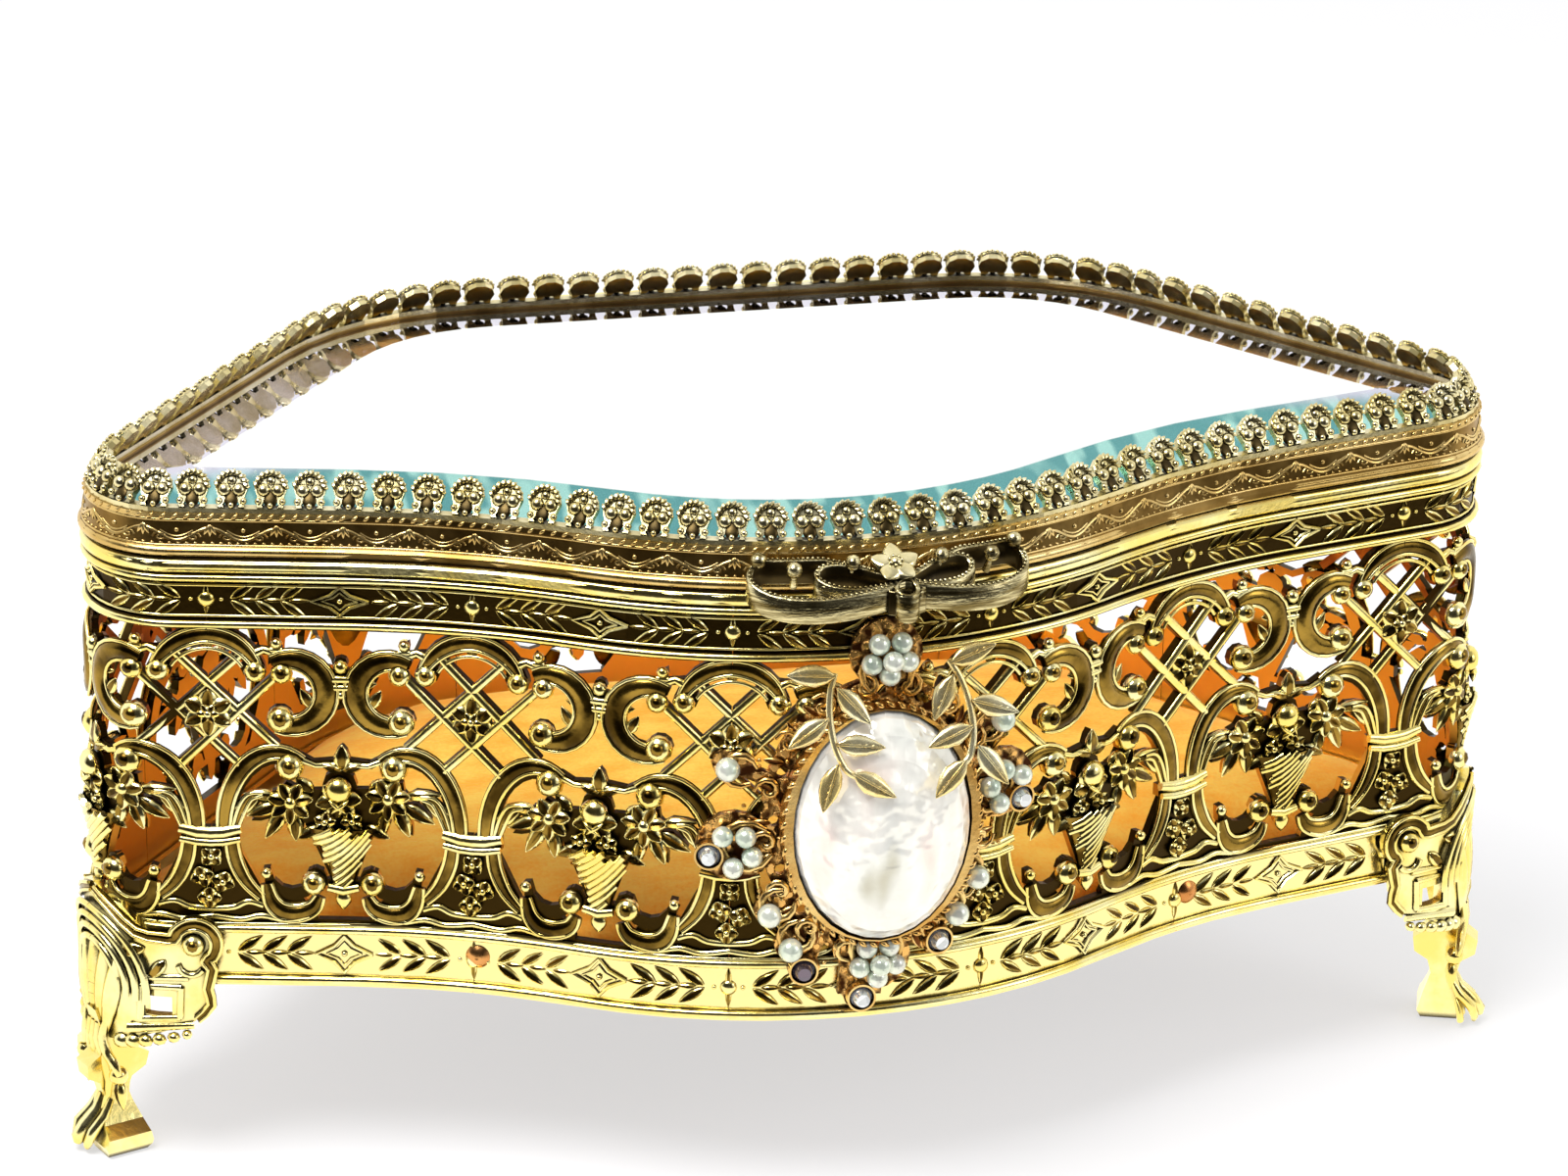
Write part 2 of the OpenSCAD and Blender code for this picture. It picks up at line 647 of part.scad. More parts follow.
module hinge_pin() {
    color("silver")
        translate([-hinge_w / 2 - 0.6, axis_y, axis_z])
            rotate([0, 90, 0])
                cylinder(h = hinge_w + 1.2, r = pin_r, $fn = 32);
}

// Thumb lift: a ribbon bow on the front of the lid, with a flower and beads.
bow_back = lip_out + seat_gap;
bow_mid_z = lid_z + 2.4;
loop_out = bow_out * 0.6;
knot_out = bow_out * 0.8;
module loop_outline() {
    r = bow_h / 2;
    w = bow_w / 2;
    polygon(concat([[0, 1.7]], sweep_of([w - r * 0.95, 0], r * 0.95, r, 80, -80, 12),
                   [[w * 0.5, -3], [w * 0.3, -2.6], [0, -1.7]]));
}
module loop_ribbon() {
    difference() {
        loop_outline();
        offset(delta = -ribbon_w) loop_outline();
    }
}
module thumb_bow() {
    color("darkkhaki")
        union() {
            for (side = [-1, 1])
                intersection() {
                    wall_strip(bow_x + min(side, side * bow_w / 2), bow_x + max(side, side * bow_w / 2), bow_back,
                               bow_back + loop_out, bow_mid_z - bow_h, 2 * bow_h);
                    through_wall(bow_x + side * bow_w / 4, bow_mid_z, 4 * bow_out)
                        translate([-side * bow_w / 4, 0])
                            mirror([side < 0 ? 1 : 0, 0])
                                loop_ribbon();
                }
            on_wall(bow_x, bow_back, bow_mid_z)
                linear_extrude(knot_out)
                    polygon([[-2.4, -2.6], [2.4, -2.6], [2.8, 0], [2.2, 2.2], [-2.2, 2.2], [-2.8, 0]]);
            on_wall(bow_x, bow_back, bow_mid_z)
                linear_extrude(loop_out)
                    polygon([[-1.4, 0], [-3.6, -bow_h * 0.62], [0, -bow_h * 0.45], [3.4, -bow_h * 0.62], [1.4, 0]]);
        }
}
flower_t = 0.7;
flower_z = bow_mid_z + bow_h * 0.22;
module bow_flower() {
    color("darkkhaki")
        on_wall(bow_x, bow_back + knot_out + seat_gap, flower_z)
            union() {
                linear_extrude(flower_t)
                    offset(delta = 0.01)
                        rosette([0, 0], 2.7, 6);
                cylinder(h = 2 * flower_t, r = 0.9, $fn = 16);
            }
}
bead_r = 0.7;
module bow_beads() {
    bead_d = bow_back + loop_out + bead_r + seat_gap;
    color("darkkhaki")
        for (side = [-1, 1], q = [[0.32, 0.31], [0.55, 0.4], [0.5, -0.33]])
            on_wall(bow_x + side * q[0] * bow_w / 2, bead_d, bow_mid_z + q[1] * bow_h)
                sphere(bead_r, $fn = 20);
}

// Brooch: an openwork plate bent round the bow, a bezel with the cabochon, leaves, pearls and stones.
brooch_d = rail_out + seat_gap;
brooch_z = wall_z + cab_z;
face_d = brooch_d + plate_t;
function oval(w, h, n) = [for (i = [0:n - 1]) [w / 2 * cos(360 * i / n), h / 2 * sin(360 * i / n)]];
bezel_side = 1.2;
bezel_end = 0.2;
top_cluster = [0.7, cab_h / 2 + 6.2];
left_cluster = [-cab_w / 2 - 6, -3.2];
right_cluster = [cab_w / 2 + 4.8, 2.2];
bottom_cluster = [0, -cab_h / 2 - bezel_end - 1.23 * cluster_d];
single_places = [[-cab_w / 2 - 6.8, 7.5], [cab_w / 2 + 3.9, 11.2], [-cab_w / 2 - 1.8, -11.6], [-cab_w / 2 + 0.7, -16.2],
                 [cab_w / 2 + 1.1, -9], [cab_w / 2 - 1.4, -13.4]];
stone_places = [[-cab_w / 2 + 2.3, -19.3], [cab_w / 2 - 3.4, -16.8], [-1.8, -cab_h / 2 - 8.3]];
// A ring of five pearls that touch. A stone that takes the place of one stands farther out.
cup_d = stone_d + 0.6;
cluster_ring = (cluster_d + seat_gap) / 2 / sin(36);
middle_lift = sqrt(pow(cluster_d + seat_gap, 2) - pow(cluster_ring, 2));
stone_ring = cluster_ring * cos(72)
    + sqrt(pow((cluster_d + cup_d) / 2 + seat_gap, 2) - pow(cluster_ring * sin(72), 2));
module plate_outline() {
    offset(delta = 0.01)
        difference() {
            union() {
                polygon(oval(cab_w + 6.4, cab_h + 6.4, 32));
                for (q = [top_cluster, left_cluster, right_cluster, bottom_cluster])
                    translate(q) circle(4.5, $fn = 16);
                for (q = concat(single_places, stone_places))
                    translate(q) circle(2, $fn = 10);
                for (q = concat(single_places, stone_places, [left_cluster, right_cluster]))
                    bar(q * 0.6, q, 1.8);
                bar([0, 0], stone_places[2], 5.4);
            }
            for (a = [22:22.5:360])
                translate([(cab_w / 2 + 1.6) * cos(a), (cab_h / 2 + 1.6) * sin(a)]) circle(0.75, $fn = 8);
            for (q = [left_cluster, right_cluster], v = [-5.4, 5.2])
                translate([q.x * 0.86, q.y + v]) circle(1, $fn = 8);
        }
}
module brooch_plate() {
    reach = cup_d + stone_ring - left_cluster.x;
    color("peru")
        intersection() {
            wall_strip(-reach, reach, brooch_d, face_d, wall_z - 1, open_h + low_band_h + top_band_h);
            through_wall(0, brooch_z, box_d)
                translate([brooch_x, 0]) plate_outline();
        }
}
bezel_t = 1;
bezel_h = 1.6;
seat_d = face_d + seat_gap;
girdle_t = 0.6;
crown_deg = 77.5;
module brooch_front(d) {
    on_wall(0, d, brooch_z)
        translate([brooch_x, 0, 0])
            children();
}
module bezel_outline() {
    polygon(oval(cab_w + 2 * bezel_side, cab_h + 2 * bezel_end, 32));
}
module cabochon_bezel() {
    color("peru")
        brooch_front(seat_d)
            union() {
                linear_extrude(bezel_t)
                    difference() {
                        bezel_outline();
                        polygon(oval(cab_w - 6, cab_h - 6, 24));
                    }
                linear_extrude(bezel_t + bezel_h)
                    difference() {
                        bezel_outline();
                        polygon(oval(cab_w + 2 * seat_gap, cab_h + 2 * seat_gap, 32));
                    }
            }
}
module cabochon() {
    color("whitesmoke")
        brooch_front(seat_d + bezel_t + seat_gap)
            loft([for (j = [0:5]) let (a = crown_deg * j / 5, r = cos(a))
                [for (q = oval((cab_w - 0.2) * r, (cab_h - 0.2) * r, 32)) [q.x, q.y, girdle_t + cab_rise * sin(a)]]]);
}

// Leaf sprays over the top of the cabochon, tilted with its dome. The left one is drawn about the
// top of the cabochon, and the right one is its mirror image, turned a little outwards.
spray_tilt = 20;
spray_rise = 2.3;
spray_turn = 13;
spray_t = 0.7;
spray_top = leaf_l * [1.07, 1.13];
module spray() {
    stem = leaf_l * [[1.07, 1.13], [1.18, 0.73], [1.22, 0.23], [1.15, -0.33], [0.97, -0.77], [0.77, -0.93]];
    leaves = [[1.07, 1.07, 5], [1.05, 0.83, 230], [1.27, 0.23, -31], [1.13, -0.27, 188], [1.13, -0.67, -68],
              [0.83, -0.87, 213]];
    linear_extrude(spray_t)
        offset(delta = 0.01) {
            polygon(ribbon(stem, [for (q = stem) leaf_w * 0.37]));
            for (q = leaves) leaf(leaf_l * [q.x, q.y], q.z, leaf_l, leaf_w);
        }
}
module spray_at(side) {
    color("darkkhaki")
        brooch_front(seat_d + bezel_t + bezel_h + spray_rise)
            translate([0, cab_h / 2 - 1, 0])
                rotate([-spray_tilt, 0, 0])
                    translate([side > 0 ? 1.2 : 0, side > 0 ? 0.6 : 0, 0])
                        translate([side * spray_top.x, spray_top.y, 0])
                            rotate(side > 0 ? spray_turn : 0)
                                translate([-side * spray_top.x, -spray_top.y, 0])
                                    mirror([side < 0 ? 1 : 0, 0, 0])
                                        spray();
}
module leaf_spray_left() {
    spray_at(-1);
}
module leaf_spray_right() {
    spray_at(1);
}

// Pearls stand on the plate, in a ring under a middle one, in a ring with a stone, or alone.
left_stone = 197;
right_stone = -44;
module pearl(q, d, lift = 0) {
    on_wall(q.x + brooch_x, face_d + seat_gap + d / 2 + lift, brooch_z + q.y)
        sphere(d / 2, $fn = 24);
}
function on_ring(q, r, a) = q + r * [cos(a), sin(a)];
module round_cluster(q) {
    color("ivory") {
        pearl(q, cluster_d, middle_lift);
        for (i = [0:4]) pearl(on_ring(q, cluster_ring, 126 + 72 * i), cluster_d);
    }
}
module open_cluster(q, a) {
    color("ivory") for (i = [1:4]) pearl(on_ring(q, cluster_ring, a + 72 * i), cluster_d);
}
module pearls_top() {
    round_cluster(top_cluster);
}
module pearls_left() {
    open_cluster(left_cluster, left_stone);
}
module pearls_right() {
    open_cluster(right_cluster, right_stone);
}
module pearls_bottom() {
    round_cluster(bottom_cluster);
}
module pearls_single() {
    color("ivory") for (q = single_places) pearl(q, pearl_d);
}
all_stones = concat(stone_places, [on_ring(left_cluster, stone_ring, left_stone),
                                   on_ring(right_cluster, stone_ring, right_stone)]);
cup_floor = 0.5;
cup_h = 1.2;
module stone_cups() {
    color("silver")
        for (q = all_stones)
            on_wall(q.x + brooch_x, face_d + seat_gap, brooch_z + q.y)
                difference() {
                    cylinder(h = cup_h, d = cup_d, $fn = 24);
                    translate([0, 0, cup_floor]) cylinder(h = cup_h, d = stone_d + 2 * seat_gap, $fn = 24);
                }
}
module cut_stones() {
    color("white")
        for (q = all_stones)
            on_wall(q.x + brooch_x, face_d + 2 * seat_gap + cup_floor, brooch_z + q.y)
                cylinder(h = 1.5, d1 = stone_d, d2 = stone_d * 0.55, $fn = 16);
}

// The origin is under the middle of the bounding box.
crown_reach = seat_d + bezel_t + seat_gap + girdle_t + cab_rise * sin(crown_deg);
spray_reach = seat_d + bezel_t + bezel_h + spray_rise + 1.6 * leaf_l * sin(spray_tilt) + spray_t * cos(spray_tilt);
front_reach = max(crown_reach, spray_reach, bow_back + knot_out + seat_gap + 2 * flower_t);
back_reach = axis_out + barrel_r;
module placed() {
    translate([0, (front_reach - back_reach) / 2, 0]) children();
}
placed() {
    wall_front();
    wall_left();
    wall_right();
    wall_back();
    body_rim();
    base_pan();
    underside_cloth();
    pad_card();
    velvet_pad();
    pan_rivets();
    foot_front_left();
    foot_front_right();
    foot_back_left();
    foot_back_right();
    lid_frame();
    lid_gallery();
    lid_glass();
    hinge_body_leaf();
    hinge_lid_leaf();
    hinge_pin();
    thumb_bow();
    bow_flower();
    bow_beads();
    brooch_plate();
    cabochon_bezel();
    cabochon();
    leaf_spray_left();
    leaf_spray_right();
    pearls_top();
    pearls_left();
    pearls_right();
    pearls_bottom();
    pearls_single();
    stone_cups();
    cut_stones();
}
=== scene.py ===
# %% [markdown]
# A jewel casket of gilt openwork on four scroll feet, with a bevelled glass lid. The solids that carry
# it come in ready made as the frame, at their real places. This script gives each of them its finish and
# adds what a stamping press, a caster and a stone setter add: raised scrolls, leaves, flowers and beads.
# The frame could be modelled again here, but then the two would drift apart, so it is loaded and kept.

# %% Load the frame
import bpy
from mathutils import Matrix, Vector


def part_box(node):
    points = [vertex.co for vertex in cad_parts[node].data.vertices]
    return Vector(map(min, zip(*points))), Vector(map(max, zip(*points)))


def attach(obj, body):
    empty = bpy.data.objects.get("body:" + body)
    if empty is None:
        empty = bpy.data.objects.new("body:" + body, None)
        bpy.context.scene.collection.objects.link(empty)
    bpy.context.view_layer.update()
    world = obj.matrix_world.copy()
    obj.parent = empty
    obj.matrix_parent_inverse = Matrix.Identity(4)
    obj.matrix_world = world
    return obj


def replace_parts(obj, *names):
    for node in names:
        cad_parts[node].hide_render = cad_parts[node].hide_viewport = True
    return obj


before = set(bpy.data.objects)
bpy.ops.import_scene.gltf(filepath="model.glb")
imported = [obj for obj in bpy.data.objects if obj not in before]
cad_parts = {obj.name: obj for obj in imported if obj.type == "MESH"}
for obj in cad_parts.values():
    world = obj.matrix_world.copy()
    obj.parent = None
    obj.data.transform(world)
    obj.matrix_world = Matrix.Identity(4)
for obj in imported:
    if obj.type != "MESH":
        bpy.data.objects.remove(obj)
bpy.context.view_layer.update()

import math
import random

import bmesh
import bpy
import numpy as np
from mathutils import Matrix, Vector

# %% [markdown]
# The wall runs round a bow-fronted plan: a bow, two flanks that curve back, tight corners, straight ends that
# lean in, and rounded back corners. Ornament is drawn flat, as on the stamping die, and then laid round that
# plan. A Curve modifier could bend it, but a function that turns a length along the wall into a place also sets
# beads and feet, so one function does it all.

# %% The plan as runs of arcs and straights
MM = 0.001
BOX_W, BOX_D = 176.0, 92.5
BOW_R, BOW_TURN = 62.0, 32.0
FLANK_R, FLANK_TURN = 90.0, 18.5
CORNER_R, END_LEAN, BACK_R = 11.0, 37.0, 35.0


def sine(degrees):
    return math.sin(math.radians(degrees))


def cosine(degrees):
    return math.cos(math.radians(degrees))


def polar(angle, rx, ry=None, centre=(0, 0)):
    """Point of a circle or an ellipse at an angle in degrees."""
    return centre[0] + rx * cosine(angle), centre[1] + (rx if ry is None else ry) * sine(angle)


exit_turn = BOW_TURN - FLANK_TURN
bow_reach = BOW_R * (1 - cosine(BOW_TURN)) + FLANK_R * (cosine(exit_turn) - cosine(BOW_TURN))
side_reach = BOW_R * sine(BOW_TURN) + FLANK_R * (sine(BOW_TURN) - sine(exit_turn))
flank_len = (BOX_W / 2 - side_reach - CORNER_R * (1 - sine(exit_turn))) / cosine(exit_turn)
end_reach = CORNER_R * (cosine(exit_turn) + sine(END_LEAN)) + BACK_R * (1 - sine(END_LEAN))
end_len = (BOX_D - bow_reach - flank_len * sine(exit_turn) - end_reach) / cosine(END_LEAN)
RUNS = [(BOW_R, BOW_TURN), (-FLANK_R, FLANK_TURN), (0, flank_len), (CORNER_R, 90 + END_LEAN - exit_turn),
        (0, end_len), (BACK_R, 90 - END_LEAN)]


def advance(start, run, share):
    x, y, heading = start
    radius, amount = run
    if radius == 0:
        return x + amount * share * cosine(heading), y + amount * share * sine(heading), heading
    turned = heading + math.copysign(amount, radius) * share
    return (x + radius * (sine(turned) - sine(heading)), y - radius * (cosine(turned) - cosine(heading)), turned)


def span(run):
    return run[1] if run[0] == 0 else abs(run[0]) * math.radians(run[1])


marks = [(0.0, -BOX_D / 2, 0.0)]
for run in RUNS:
    marks.append(advance(marks[-1], run, 1))
RUNS.append((0, marks[-1][0]))
ends = [sum(span(run) for run in RUNS[:i]) for i in range(len(RUNS) + 1)]
HALF_LEN = ends[-1]
rim_low, rim_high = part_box("body_rim")
MID_Y = (rim_low.y + rim_high.y) / 2 / MM
print("half of the wall's length", round(HALF_LEN, 2), "mm, plan's middle at y", round(MID_Y, 2), "mm")

# %% [markdown]
# A length along the wall, counted from the front's middle, is turned into a place in three ways: as a
# point, as a matrix that sets a whole drawn piece there, and as a bend for a flat mesh that is longer
# than one spot. The bend looks its places up in a table, because a mesh has thousands of points.

# %% From a length along the wall to a place


def along(s):
    """Place and heading at a length along the wall from the front's middle, in mm."""
    half = abs(s)
    if half > HALF_LEN:
        return along(math.copysign(2 * HALF_LEN - half, -s))
    i = max(i for i in range(len(RUNS)) if ends[i] <= half + 1e-9)
    x, y, heading = advance(marks[i], RUNS[i], (half - ends[i]) / span(RUNS[i]))
    return (x, y, heading) if s >= 0 else (-x, y, -heading)


def at_wall(s, out, z):
    """Point at a length along the wall, a distance out of it and a height, in metres."""
    x, y, heading = along(s)
    return Vector((x + out * sine(heading), y - out * cosine(heading) + MID_Y, z)) * MM


def on_wall(s, out, z, lean=0.0, turn=0.0):
    """Matrix that sets a piece drawn in mm on the wall: X along it, Y up, Z out of it."""
    heading = math.radians(along(s)[2])
    stand = Matrix.Rotation(heading, 4, "Z") @ Matrix.Rotation(math.radians(90 - lean), 4, "X")
    spin = Matrix.Rotation(math.radians(turn), 4, "Z")
    return Matrix.Translation(at_wall(s, out, z)) @ stand @ spin @ Matrix.Scale(MM, 4)


def spread(count, shift=0.5):
    """Lengths along the wall at even steps all round it."""
    return [-HALF_LEN + 2 * HALF_LEN * (i + shift) / count for i in range(count)]


def points_of(mesh):
    """The places of a mesh's vertices, one row each."""
    points = np.zeros(len(mesh.vertices) * 3)
    mesh.vertices.foreach_get("co", points)
    return points.reshape(-1, 3)


samples = np.linspace(-HALF_LEN, HALF_LEN, 4001)
lane = np.array([along(s) for s in samples])


def bend(mesh, centre, stretch, z):
    """Lays a flat mesh, drawn in mm, round the wall about a length along it and a height."""
    u, v, w = points_of(mesh).T
    s = (centre + u * stretch + HALF_LEN) % (2 * HALF_LEN) - HALF_LEN
    x, y, heading = (np.interp(s, samples, column) for column in lane.T)
    heading = np.radians(heading)
    laid = np.stack([x + w * np.sin(heading), y - w * np.cos(heading) + MID_Y, z + v], axis=1) * MM
    mesh.vertices.foreach_set("co", laid.ravel())


print("a front corner's middle is at", [round(v, 1) for v in along((ends[3] + ends[4]) / 2)])

# %% [markdown]
# The heights of the wall's parts are the frame's own: a lower band, the openwork and an upper band.
# Five panels of one pitch make the front, and four slightly wider ones run round each end to the seam.

# %% Heights and panels
WALL_Z = 24.5
OPEN_Z = WALL_Z + 8.4
OPEN_H = 38.9
TOP_BAND_Z = OPEN_Z + OPEN_H
WALL_TOP = TOP_BAND_Z + 6.9
FRONT_PITCH = 32.0
SIDE_PANELS = 4
SIDE_PITCH = (HALF_LEN - 2.5 * FRONT_PITCH) / SIDE_PANELS
print("front middle", [round(v, 4) for v in at_wall(0, 0, WALL_Z)], "side panels", round(SIDE_PITCH, 2), "mm")

# %% [markdown]
# Each finish is a small tree of shader nodes. Wiring them one by one hides the idea, so a socket is
# wrapped in a class that knows sums: 1 - hollow * 0.5 then adds the Math nodes by itself. Every other
# node comes from one method that takes its kind, its settings and what goes into it.

# %% A socket that can be used in sums


class Value:
    def __init__(self, finish, socket):
        self.finish = finish
        self.socket = socket

    def math(self, operation, other, swap=False):
        pair = (other, self) if swap else (self, other)
        return self.finish.node("Math", {0: pair[0], 1: pair[1]}, operation=operation)

    def __add__(self, other):
        return self.math("ADD", other)

    def __sub__(self, other):
        return self.math("SUBTRACT", other)

    def __mul__(self, other):
        return self.math("MULTIPLY", other)

    def __rsub__(self, other):
        return self.math("SUBTRACT", other, swap=True)

    __radd__ = __add__
    __rmul__ = __mul__


# %% [markdown]
# A finish is one material with its node tree. What most trees need has a method of its own: noise of a
# real size, a blend of two colours, a smooth step and a bump. Sizes are in millimetres and taken from
# Object coordinates, so a pattern keeps its scale on every piece.

# %% A finish: one material and its nodes


class Finish:
    def __init__(self, name, slot):
        self.material = bpy.data.materials.new(name)
        self.material.use_nodes = True
        self.slot = slot
        self.tree = self.material.node_tree
        self.tree.nodes.clear()

    def node(self, kind, inputs=None, output=0, stops=None, **settings):
        """Adds a node, sets it, feeds it and returns one of its outputs."""
        made = self.tree.nodes.new("ShaderNode" + kind)
        for name, value in settings.items():
            setattr(made, name, value)
        for i, (place, colour) in enumerate(stops or []):
            ramp = made.color_ramp.elements
            stop = ramp[i] if i < len(ramp) else ramp.new(place)
            stop.position = place
            stop.color = colour
        for key, value in (inputs or {}).items():
            if isinstance(value, Value):
                self.tree.links.new(value.socket, made.inputs[key])
            else:
                made.inputs[key].default_value = value
        return Value(self, made.outputs[output])

    def place(self):
        return self.node("TexCoord", output="Object")

    def coordinate(self, axis):
        return self.node("SeparateXYZ", {0: self.place()}, output=axis)

    def cloud(self, size_mm, detail=3.0, stretch=(1, 1, 1)):
        """Soft noise with lumps of a size in millimetres, from 0 to 1."""
        scale = tuple(s / (size_mm * MM) for s in stretch)
        where = self.node("Mapping", {"Vector": self.place(), "Scale": scale})
        return self.node("TexNoise", {"Vector": where, "Scale": 1.0, "Detail": detail, "Roughness": 0.55})

    def blend(self, share, low, high):
        """Colour between two, by a share from 0 to 1."""
        return self.node("Mix", {0: share, 6: low, 7: high}, output=2, data_type="RGBA")

    def steps(self, value, low, high):
        """0 below low, 1 above high, and smooth between."""
        return self.node("MapRange", {0: value, 1: low, 2: high}, interpolation_type="SMOOTHSTEP")

    def bump(self, height, depth_mm):
        return self.node("Bump", {"Height": height, "Distance": depth_mm * MM, "Strength": 1.0})

    def shader(self, **sockets):
        return self.node("BsdfPrincipled", {name.replace("_", " "): v for name, v in sockets.items()})

    def done(self, surface):
        end = self.tree.nodes.new("ShaderNodeOutputMaterial")
        self.tree.links.new(surface.socket, end.inputs["Surface"])
        return self


def colour(red, green, blue):
    """A colour as it shows on screen, from 0 to 255, as the shader's linear values."""
    return tuple(((c / 255 + 0.055) / 1.055) ** 2.4 if c > 10 else c / 3295 for c in (red, green, blue)) + (1.0,)


print("mid grey is", round(colour(128, 128, 128)[0], 3))

# %% [markdown]
# Gilt stampings are polished on what stands proud, and hold a dark brown wash in the hollows. The wash could be
# painted on by hand. Here an Ambient Occlusion node finds the hollows, so that every scroll and petal darkens at
# its foot, wherever it lies. That darkening is partly the wash and partly painted shade, where little light
# would reach.

# %% Metals


def metal(name, slot, bright, pale, wash_and_shade, rough, hollow_mm, grain_mm=0.8, metallic=1.0, streak=1.0):
    """Polished metal between two tones, with a wash and painted shade in hollows and, with streak, brushed
    grain.
    """
    f = Finish(name, slot)
    open_sky = f.node("AmbientOcclusion", {"Distance": hollow_mm * MM}, output=1, samples=8)
    tarnish = f.cloud(7.0, detail=4.0, stretch=(1, 1, streak))
    speck = f.cloud(grain_mm, detail=2.0, stretch=(0.4, 0.4, 2) if streak > 1 else (1, 1, 1))
    # Partly real wash and partly painted shade: the hollow share grows where Ambient Occlusion finds little open
    # sky.
    hollow = f.steps(1 - open_sky + (tarnish - 0.5) * 0.3, 0.2, 0.85)
    skin = f.blend(f.steps(tarnish, 0.35, 0.7), colour(*bright), colour(*pale))
    tint = f.blend(hollow, skin, colour(*wash_and_shade))
    return f.done(f.shader(Base_Color=tint, Metallic=metallic, Roughness=hollow * 0.3 + speck * 0.12 + rough,
                           Normal=f.bump(speck, 0.02 * min(streak, 4))))


gilt = metal("gilt_brass", "gilt_brass", (248, 224, 128), (255, 246, 186), (40, 28, 8), 0.12, 1.6)
# A darker copy of the gilt: painted shade on creases, scroll bodies and the basket.
shaded_gilt = metal("gilt_painted_shade", "gilt_brass", (66, 49, 15), (168, 136, 60), (14, 10, 3), 0.15, 2.0)
antique = metal("antique_brass", "antique_brass", (206, 190, 132), (244, 234, 192), (30, 24, 11), 0.16, 1.2)
brushed = metal("brushed_brass", "antique_brass", (120, 104, 62), (240, 228, 180), (20, 15, 8),
                0.16, 1.0, grain_mm=0.5, streak=14.0)
# A dark copy of the brass: painted shade inside the bow's loops and in the gallery's arches.
shaded_brass = metal("shaded_brass", "antique_brass", (58, 48, 28), (84, 70, 42), (20, 15, 8), 0.3, 1.0)
# A darker copy of the band's brass: painted shade on the lid frame and the band's ground.
shaded_band_brass = metal("shaded_band_brass", "antique_brass", (120, 92, 44), (168, 136, 78), (34, 24, 10), 0.24, 0.5)
band_light = metal("band_light", "antique_brass", (204, 170, 100), (236, 208, 144), (70, 50, 20), 0.22, 0.5)
rose_gilt = metal("brooch_gilt", "brooch_gilt", (216, 168, 92), (250, 216, 146), (64, 36, 12), 0.2, 1.0)
# A dark copy of the brooch gilt: painted shade down the filigree leaflets' creases.
shaded_rose = metal("brooch_painted_shade", "brooch_gilt", (84, 48, 22), (120, 72, 36), (30, 16, 6), 0.3, 1.0)
leaf_gilt = metal("leaf_gilt", "brooch_gilt", (250, 224, 150), (255, 248, 210), (96, 54, 18),
                  0.2, 0.7, metallic=0.9)
copper = metal("copper_rivet", "copper_rivet", (196, 128, 70), (226, 164, 100), (70, 30, 12), 0.2, 0.8)
steel = metal("steel_pin", "steel_pin", (150, 148, 144), (176, 174, 170), (60, 54, 48), 0.3, 0.8)
print("metals", len(bpy.data.materials))

# %% [markdown]
# The brooch's plate lies behind its filigree and shows only between the scrolls. A Voronoi pattern of round
# pits, painted dark as the shade seen through openings, gives it the look of pierced lace, which geometry this
# small would only make heavy.

# %% Filigree ground


def filigree_ground():
    f = Finish("filigree_ground", "brooch_gilt")
    lace = f.node("TexVoronoi", {"Vector": f.place(), "Scale": 1 / (1.1 * MM)}, output=0, feature="SMOOTH_F1")
    grain = f.cloud(0.7, detail=3.0)
    # Painted shade: the pits are dark, like openings that look into shadow.
    shaded_holes = f.steps(lace + (grain - 0.5) * 0.4, 0.3, 0.62)
    tint = f.blend(shaded_holes, colour(236, 184, 108), colour(64, 32, 10))
    return f.done(f.shader(Base_Color=tint, Metallic=0.95, Roughness=shaded_holes * 0.25 + 0.2,
                           Normal=f.bump(1 - shaded_holes, 0.35)))


lace = filigree_ground()
print("made", lace.material.name)

# %% [markdown]
# The sheet behind the raised work isn't one tone. Its lower band is bright. The upper band and the ribs are
# painted dark, as painted shade. The inner face, seen through the far openings, is golden low down, a painted
# reflection of the golden pad, and a mottled warm brown higher up.

# %% The wall's sheet
PAD_REFLECTION_FADE_LOW, PAD_REFLECTION_FADE_HIGH = 50.0 * MM, 58.0 * MM


def wall_sheet():
    f = Finish("wall_brass", "gilt_brass")
    height = f.coordinate(2)
    middle = f.node("VectorMath", {0: f.place(), 1: (0, MID_Y * MM, 0)}, operation="SUBTRACT")
    faces = f.node("NewGeometry", output="Normal")
    inward = f.node("VectorMath", {0: middle, 1: faces}, output=1, operation="DOT_PRODUCT")
    inner = 1 - f.steps(inward, -0.03, -0.01)
    # Painted shade: from just below the openwork's foot upwards, the sheet's outer face is dark.
    dark = f.steps(height, (OPEN_Z - 0.8) * MM, OPEN_Z * MM)
    tarnish = f.cloud(6.0, detail=4.0)
    speck = f.cloud(0.8, detail=2.0)
    front = f.blend(dark, colour(255, 238, 168), colour(54, 40, 14))
    high = f.blend(f.steps(tarnish, 0.35, 0.7), colour(120, 52, 12), colour(196, 110, 30))
    # Low on the inner face, the golden tone is a painted reflection of the pad; above it the inner face is a
    # mottled brown.
    back = f.blend(f.steps(height, PAD_REFLECTION_FADE_LOW, PAD_REFLECTION_FADE_HIGH), colour(240, 170, 60), high)
    return f.done(f.shader(Base_Color=f.blend(inner, front, back), Metallic=1.0 - inner * 0.35,
                           Roughness=dark * 0.12 + inner * 0.2 + speck * 0.1 + 0.16, Normal=f.bump(speck, 0.03)))


sheet_gilt = wall_sheet()
print("made", sheet_gilt.material.name)
